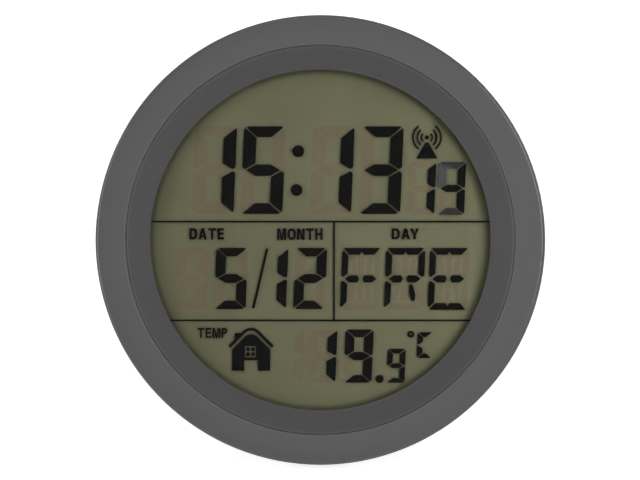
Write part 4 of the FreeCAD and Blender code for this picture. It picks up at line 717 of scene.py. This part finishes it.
def band(inner, outer, start, spread):
    """A piece of a ring from an angle in degrees."""
    return arc(outer, start, spread, BAND_STEPS) + arc(inner, start, spread, BAND_STEPS)[::-1]


def disc(radius):
    """A full round."""
    return arc(radius, 0, 360, DISC_STEPS)[:-1]


BUTTON_MARKS = {
    "button_1": [[(-1.5, -1.1), (1.5, -1.1), (0, 1.4)]],
    "button_2": [[(-1.5, 1.1), (1.5, 1.1), (0, -1.4)]],
    "button_3": [disc(1.7), disc(1.25), disc(0.45)],
    "button_4": [disc(0.4)] + [
        band(inner, outer, start, WAVE_SPREAD)
        for inner, outer in ((0.85, 1.2), (1.65, 2.0))
        for start in (-WAVE_SPREAD / 2, 180 - WAVE_SPREAD / 2)
    ],
}

for button, outlines in BUTTON_MARKS.items():
    low, high = face_box(face_points(button))
    in_metres = [[(x * MM, y * MM) for x, y in outline] for outline in outlines]
    mark = flat_mesh(button + "_mark", in_metres, INK_THICKNESS / 2 * MM)
    top = ((low.x + high.x) / 2, (low.y + high.y) / 2, low.z - INK_SUNK * MM)
    mark.transform(FACE @ Matrix.Translation(top))
    mesh_piece(button + "_mark", mark, button, "white_plastic")


# Screws, made by one node tree and set on the seats of the plain ones

class Grower(Nodes):
    """A Geometry Nodes tree that sets one shape on every point, with short calls."""

    def __init__(self, name, sizes):
        super().__init__(bpy.data.node_groups.new(name, "GeometryNodeTree"))
        sockets = self.tree.interface
        sockets.new_socket("Places", in_out="INPUT", socket_type="NodeSocketGeometry")
        for size in sizes:
            sockets.new_socket(size, in_out="INPUT", socket_type="NodeSocketFloat")
        sockets.new_socket("Turn Seed", in_out="INPUT", socket_type="NodeSocketInt")
        sockets.new_socket("Finish", in_out="INPUT", socket_type="NodeSocketMaterial")
        sockets.new_socket("Result", in_out="OUTPUT", socket_type="NodeSocketGeometry")
        self.inputs = self.node("NodeGroupInput").outputs

    def vector(self, **parts):
        """A vector of its named parts."""
        return self.node("CombineXYZ", parts).outputs[0]

    def position(self):
        """The parts of the place of each point."""
        here = self.node("GeometryNodeInputPosition").outputs[0]
        return self.node("SeparateXYZ", {"Vector": here}).outputs

    def rod(self, segments, radius, length):
        """An upright cylinder, with this many segments along it."""
        return self.node(
            "GeometryNodeMeshCylinder",
            {"Vertices": SCREW_SIDES, "Side Segments": segments, "Radius": radius, "Depth": length},
        ).outputs["Mesh"]

    def drawn_in(self, geometry, here, pull):
        """The geometry with its points, which are here, drawn in towards its axis."""
        place = self.vector(
            X=self.math("MULTIPLY", here["X"], pull), Y=self.math("MULTIPLY", here["Y"], pull), Z=here["Z"]
        )
        return self.node("GeometryNodeSetPosition", {"Geometry": geometry, "Position": place}).outputs[0]

    def moved(self, geometry, **changes):
        """The geometry moved, turned or scaled."""
        return self.node("GeometryNodeTransform", {"Geometry": geometry, **changes}).outputs[0]

    def end(self, shape):
        """Sets the shape on every point, turned over to face back and spun by the seed."""
        spin = self.node(
            "FunctionNodeRandomValue",
            {2: 0.0, 3: 2 * math.pi, "Seed": self.inputs["Turn Seed"]},
            data_type="FLOAT",
        ).outputs[1]
        turn = self.node("FunctionNodeEulerToRotation", {0: self.vector(X=math.pi, Z=spin)}).outputs[0]
        copies = self.node(
            "GeometryNodeInstanceOnPoints",
            {"Points": self.inputs["Places"], "Instance": shape, "Rotation": turn},
        ).outputs[0]
        real = self.node("GeometryNodeRealizeInstances", {"Geometry": copies}).outputs[0]
        painted = self.node("GeometryNodeSetMaterial", {"Geometry": real, "Material": self.inputs["Finish"]})
        self.node("NodeGroupOutput", {0: painted.outputs[0]})
        return self.tree


SCREW_SIDES = 32
HEAD_STEPS = 10
THREAD_STEPS = 48
# The crown of the head: from which share of its height it is drawn in, how sharply and how much
DOME_START = 0.35
DOME_POWER = 2.5
DOME_DROP = 0.7
# The two blades that cut the recess: their reach in radii of the head, and the rest in that reach
BLADE_REACH = 0.75
BLADE_TOP = 1.35
BLADE_FOOT = 0.5
BLADE_THICKNESS = 0.27
# The shank: how much of its length is the tip, how thin that ends, and how deep the thread is cut
TIP_SHARE = 0.16
TIP_RADIUS = 0.45
THREAD_SHARE = 0.22


def screw_tree():
    """A pan head screw with a cross recess and a rolled thread."""
    made = Grower(
        "cross_recess_screw",
        ("Head Radius", "Head Height", "Shank Radius", "Shank Length", "Thread Pitch", "Thread Depth"),
    )
    sizes = made.inputs
    half_head = made.math("DIVIDE", sizes["Head Height"], 2.0)
    half_shank = made.math("DIVIDE", sizes["Shank Length"], 2.0)

    here = made.position()
    rise = made.math("ADD", made.math("DIVIDE", here["Z"], sizes["Head Height"]), 0.5)
    dome = made.node("MapRange", {"Value": rise, "From Min": DOME_START}).outputs[0]
    drop = made.math("MULTIPLY", made.math("POWER", dome, DOME_POWER), DOME_DROP)
    crown = made.math("SQRT", made.math("SUBTRACT", 1.0, drop))
    head = made.drawn_in(made.rod(HEAD_STEPS, sizes["Head Radius"], sizes["Head Height"]), here, crown)
    seated = made.moved(head, Translation=made.vector(Z=half_head))

    reach = made.math("MULTIPLY", sizes["Head Radius"], BLADE_REACH)
    blade = made.node(
        "GeometryNodeMeshCone",
        {
            "Vertices": 4,
            "Radius Top": made.math("MULTIPLY", reach, BLADE_TOP),
            "Radius Bottom": made.math("MULTIPLY", reach, BLADE_FOOT),
            "Depth": sizes["Head Height"],
        },
    ).outputs["Mesh"]
    squared = made.moved(blade, Rotation=(0.0, 0.0, math.pi / 4))
    slim = made.moved(squared, Scale=(1.0, BLADE_THICKNESS, 1.0), Translation=made.vector(Z=half_head))
    crossed = made.moved(slim, Rotation=(0.0, 0.0, math.pi / 2))
    cut = made.node(
        "GeometryNodeMeshBoolean", {"Mesh 1": seated, "Mesh 2": [slim, crossed]}, operation="DIFFERENCE"
    ).outputs["Mesh"]

    here = made.position()
    turns = made.math("DIVIDE", made.math("ARCTAN2", here["Y"], here["X"]), 2 * math.pi)
    climb = made.math("SUBTRACT", made.math("DIVIDE", here["Z"], sizes["Thread Pitch"]), turns)
    valley = made.math("ABSOLUTE", made.math("SUBTRACT", made.math("FRACT", climb), 0.5))
    waist = made.math("MULTIPLY", made.math("MULTIPLY", valley, 2.0), sizes["Thread Depth"])
    from_tip = made.math("DIVIDE", made.math("ADD", here["Z"], half_shank), sizes["Shank Length"])
    tip = made.node("MapRange", {"Value": from_tip, "From Max": TIP_SHARE, "To Min": TIP_RADIUS}).outputs[0]
    grooved = made.math("SUBTRACT", 1.0, made.math("DIVIDE", waist, sizes["Shank Radius"]))
    shank = made.rod(THREAD_STEPS, sizes["Shank Radius"], sizes["Shank Length"])
    threaded = made.drawn_in(shank, here, made.math("MULTIPLY", grooved, tip))
    hung = made.moved(threaded, Translation=made.vector(Z=made.math("MULTIPLY", half_shank, -1.0)))
    return made.end(made.node("GeometryNodeJoinGeometry", {"Geometry": [cut, hung]}).outputs[0])


def grown(name, tree, places, values):
    """The plain mesh that a tree grows on places in face coordinates."""
    points = bpy.data.meshes.new(name)
    points.from_pydata(places, [], [])
    holder = new_object(name, points)
    grower = holder.modifiers.new("grower", "NODES")
    grower.node_group = tree
    for socket in tree.interface.items_tree:
        if socket.in_out == "INPUT" and socket.name in values:
            grower[socket.identifier] = values[socket.name]
    mesh = evaluated_mesh(holder)
    holder.modifiers.remove(grower)
    bpy.data.objects.remove(holder)
    mesh.transform(FACE)
    return mesh


def screws(tree, node, body, head_height, shank_radius, pitch, seed):
    """Screws in place of a node's plain ones, with their heads to the back."""
    boxes = solids(node)
    low, high = boxes[0]
    places = [((l.x + h.x) / 2, (l.y + h.y) / 2, l.z + head_height * MM) for l, h in boxes]
    values = {
        "Head Radius": (high.x - low.x) / 2,
        "Head Height": head_height * MM,
        "Shank Radius": shank_radius * MM,
        "Shank Length": high.z - low.z - head_height * MM,
        "Thread Pitch": pitch * MM,
        "Thread Depth": THREAD_SHARE * shank_radius * MM,
        "Turn Seed": seed,
        "Finish": FINISHES["plated_steel"],
    }
    piece = mesh_piece("fitted_" + node, grown(node, tree, places, values), body, "plated_steel")
    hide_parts(node)


# Node, body, head height, shank radius and pitch in millimetres, and the seed of the turns
SCREWS = (
    ("housing_screws", "case", 2.0, 1.5, 1.35, 3),
    ("board_screws", "case", 1.4, 1.0, 0.95, 5),
    ("door_screws", "battery_door", 1.1, 1.2, 1.1, 8),
)

cross_screw = screw_tree()
for screw_set in SCREWS:
    screws(cross_screw, *screw_set)


# Studio

# Place, width and height in metres of the face, and watts. All of them look at the middle of the face.
LAMPS = {
    "key_right": ((0.68, 0.1, 1.4), 0.4, 0.9, 8.2),
    "fill_left": ((-1.05, 0.1, 1.15), 0.6, 0.9, 5.6),
    "top": ((0.1, 1.0, 1.1), 1.0, 0.6, 2.2),
    "back_right": ((1.1, 0.35, -1.05), 0.8, 0.9, 13.0),
    "back_left": ((-1.1, 0.35, -1.05), 0.8, 0.9, 13.0),
}

for name, (where, width, height, watts) in LAMPS.items():
    data = bpy.data.lights.new(name, "AREA")
    data.shape = "RECTANGLE"
    data.size = width
    data.size_y = height
    data.energy = watts
    lamp = new_object(name, data)
    lamp.location = FACE @ Vector(where)
    towards = FACE.translation - lamp.location
    lamp.rotation_euler = towards.to_track_quat("-Z", "Y").to_euler()


def square(name, half_size, material):
    """A flat square mesh with this material."""
    mesh = bpy.data.meshes.new(name)
    grid = bmesh.new()
    bmesh.ops.create_grid(grid, x_segments=1, y_segments=1, size=half_size)
    grid.to_mesh(mesh)
    grid.free()
    mesh.materials.append(material)
    return mesh


def pale_background(made):
    """1 for rays that see the room directly, in a mirror or through glass, and 0 for its light."""
    path = made.node("LightPath").outputs
    seen = made.math("MAXIMUM", path["Is Camera Ray"], path["Is Glossy Ray"])
    return made.math("MAXIMUM", seen, path["Is Transmission Ray"])


def pale_floor():
    """White paper: it keeps the shadow, and is lifted to white where it is seen."""
    made = Finish("white_paper")
    grain = made.noise(0.8, 2.0)
    paper = made.node(
        "BsdfDiffuse", {"Color": made.tinted(made.between(grain, 0.99, 1.01), (0.82, 0.82, 0.82))}
    )
    lift = made.node("Emission", {"Strength": made.between(pale_background(made), 0.0, 0.8, 0.0, 1.0)})
    return made.finish(made.node("AddShader", {0: paper.outputs[0], 1: lift.outputs[0]}))


# A dark card that the camera doesn't see, so that the window mirrors black rather than the pale room
CARD_HALF_SIZE = 0.42
CARD_AWAY = 1.4
black_cloth = Finish("black_cloth")
cloth = black_cloth.finish(black_cloth.node("BsdfDiffuse", {"Color": (0.01, 0.01, 0.01, 1)}))
card_mesh = square("dark_card", CARD_HALF_SIZE, cloth)
card_mesh.transform(FACE @ Matrix.Translation((0, 0, CARD_AWAY)))
card = new_object("dark_card", card_mesh)
card.visible_camera = False
card.visible_diffuse = False
card.visible_shadow = False
card.visible_transmission = False

FLOOR_HALF_SIZE = 14.0
floor = new_object("floor", square("floor", FLOOR_HALF_SIZE, pale_floor()))

ROOM_LIGHT = 0.2
world = bpy.data.worlds.new("studio")
scene.world = world
world.use_nodes = True
room = Nodes(world.node_tree)
room.tree.nodes.clear()
level = room.node("MapRange", {"Value": pale_background(room), "To Min": ROOM_LIGHT, "To Max": 1.0})
sky = room.node("Background", {"Strength": level.outputs[0]})
room.node("OutputWorld", {"Surface": sky.outputs[0]})

# Camera, looking straight at the face as in the photograph
PHOTO_WIDTH = 640
PHOTO_MM_PER_PIXEL = 0.3777
CAMERA_DISTANCE = 5.2
CAMERA_ASIDE = -0.14 * MM
SENSOR_WIDTH = 36.0
ring_high = face_box(face_points("trim_ring"))[1]
lens_data = bpy.data.cameras.new("camera")
lens_data.sensor_width = SENSOR_WIDTH
lens_data.lens = SENSOR_WIDTH * CAMERA_DISTANCE / (PHOTO_WIDTH * PHOTO_MM_PER_PIXEL * MM)
camera = new_object("camera", lens_data)
camera.matrix_world = FACE @ Matrix.Translation((CAMERA_ASIDE, 0.0, ring_high.z + CAMERA_DISTANCE))
scene.camera = camera

# The display alone has more clear layers than rays pass by default
CLEAR_LAYERS = 24
scene.view_settings.view_transform = "Standard"
scene.cycles.transparent_max_bounces = CLEAR_LAYERS
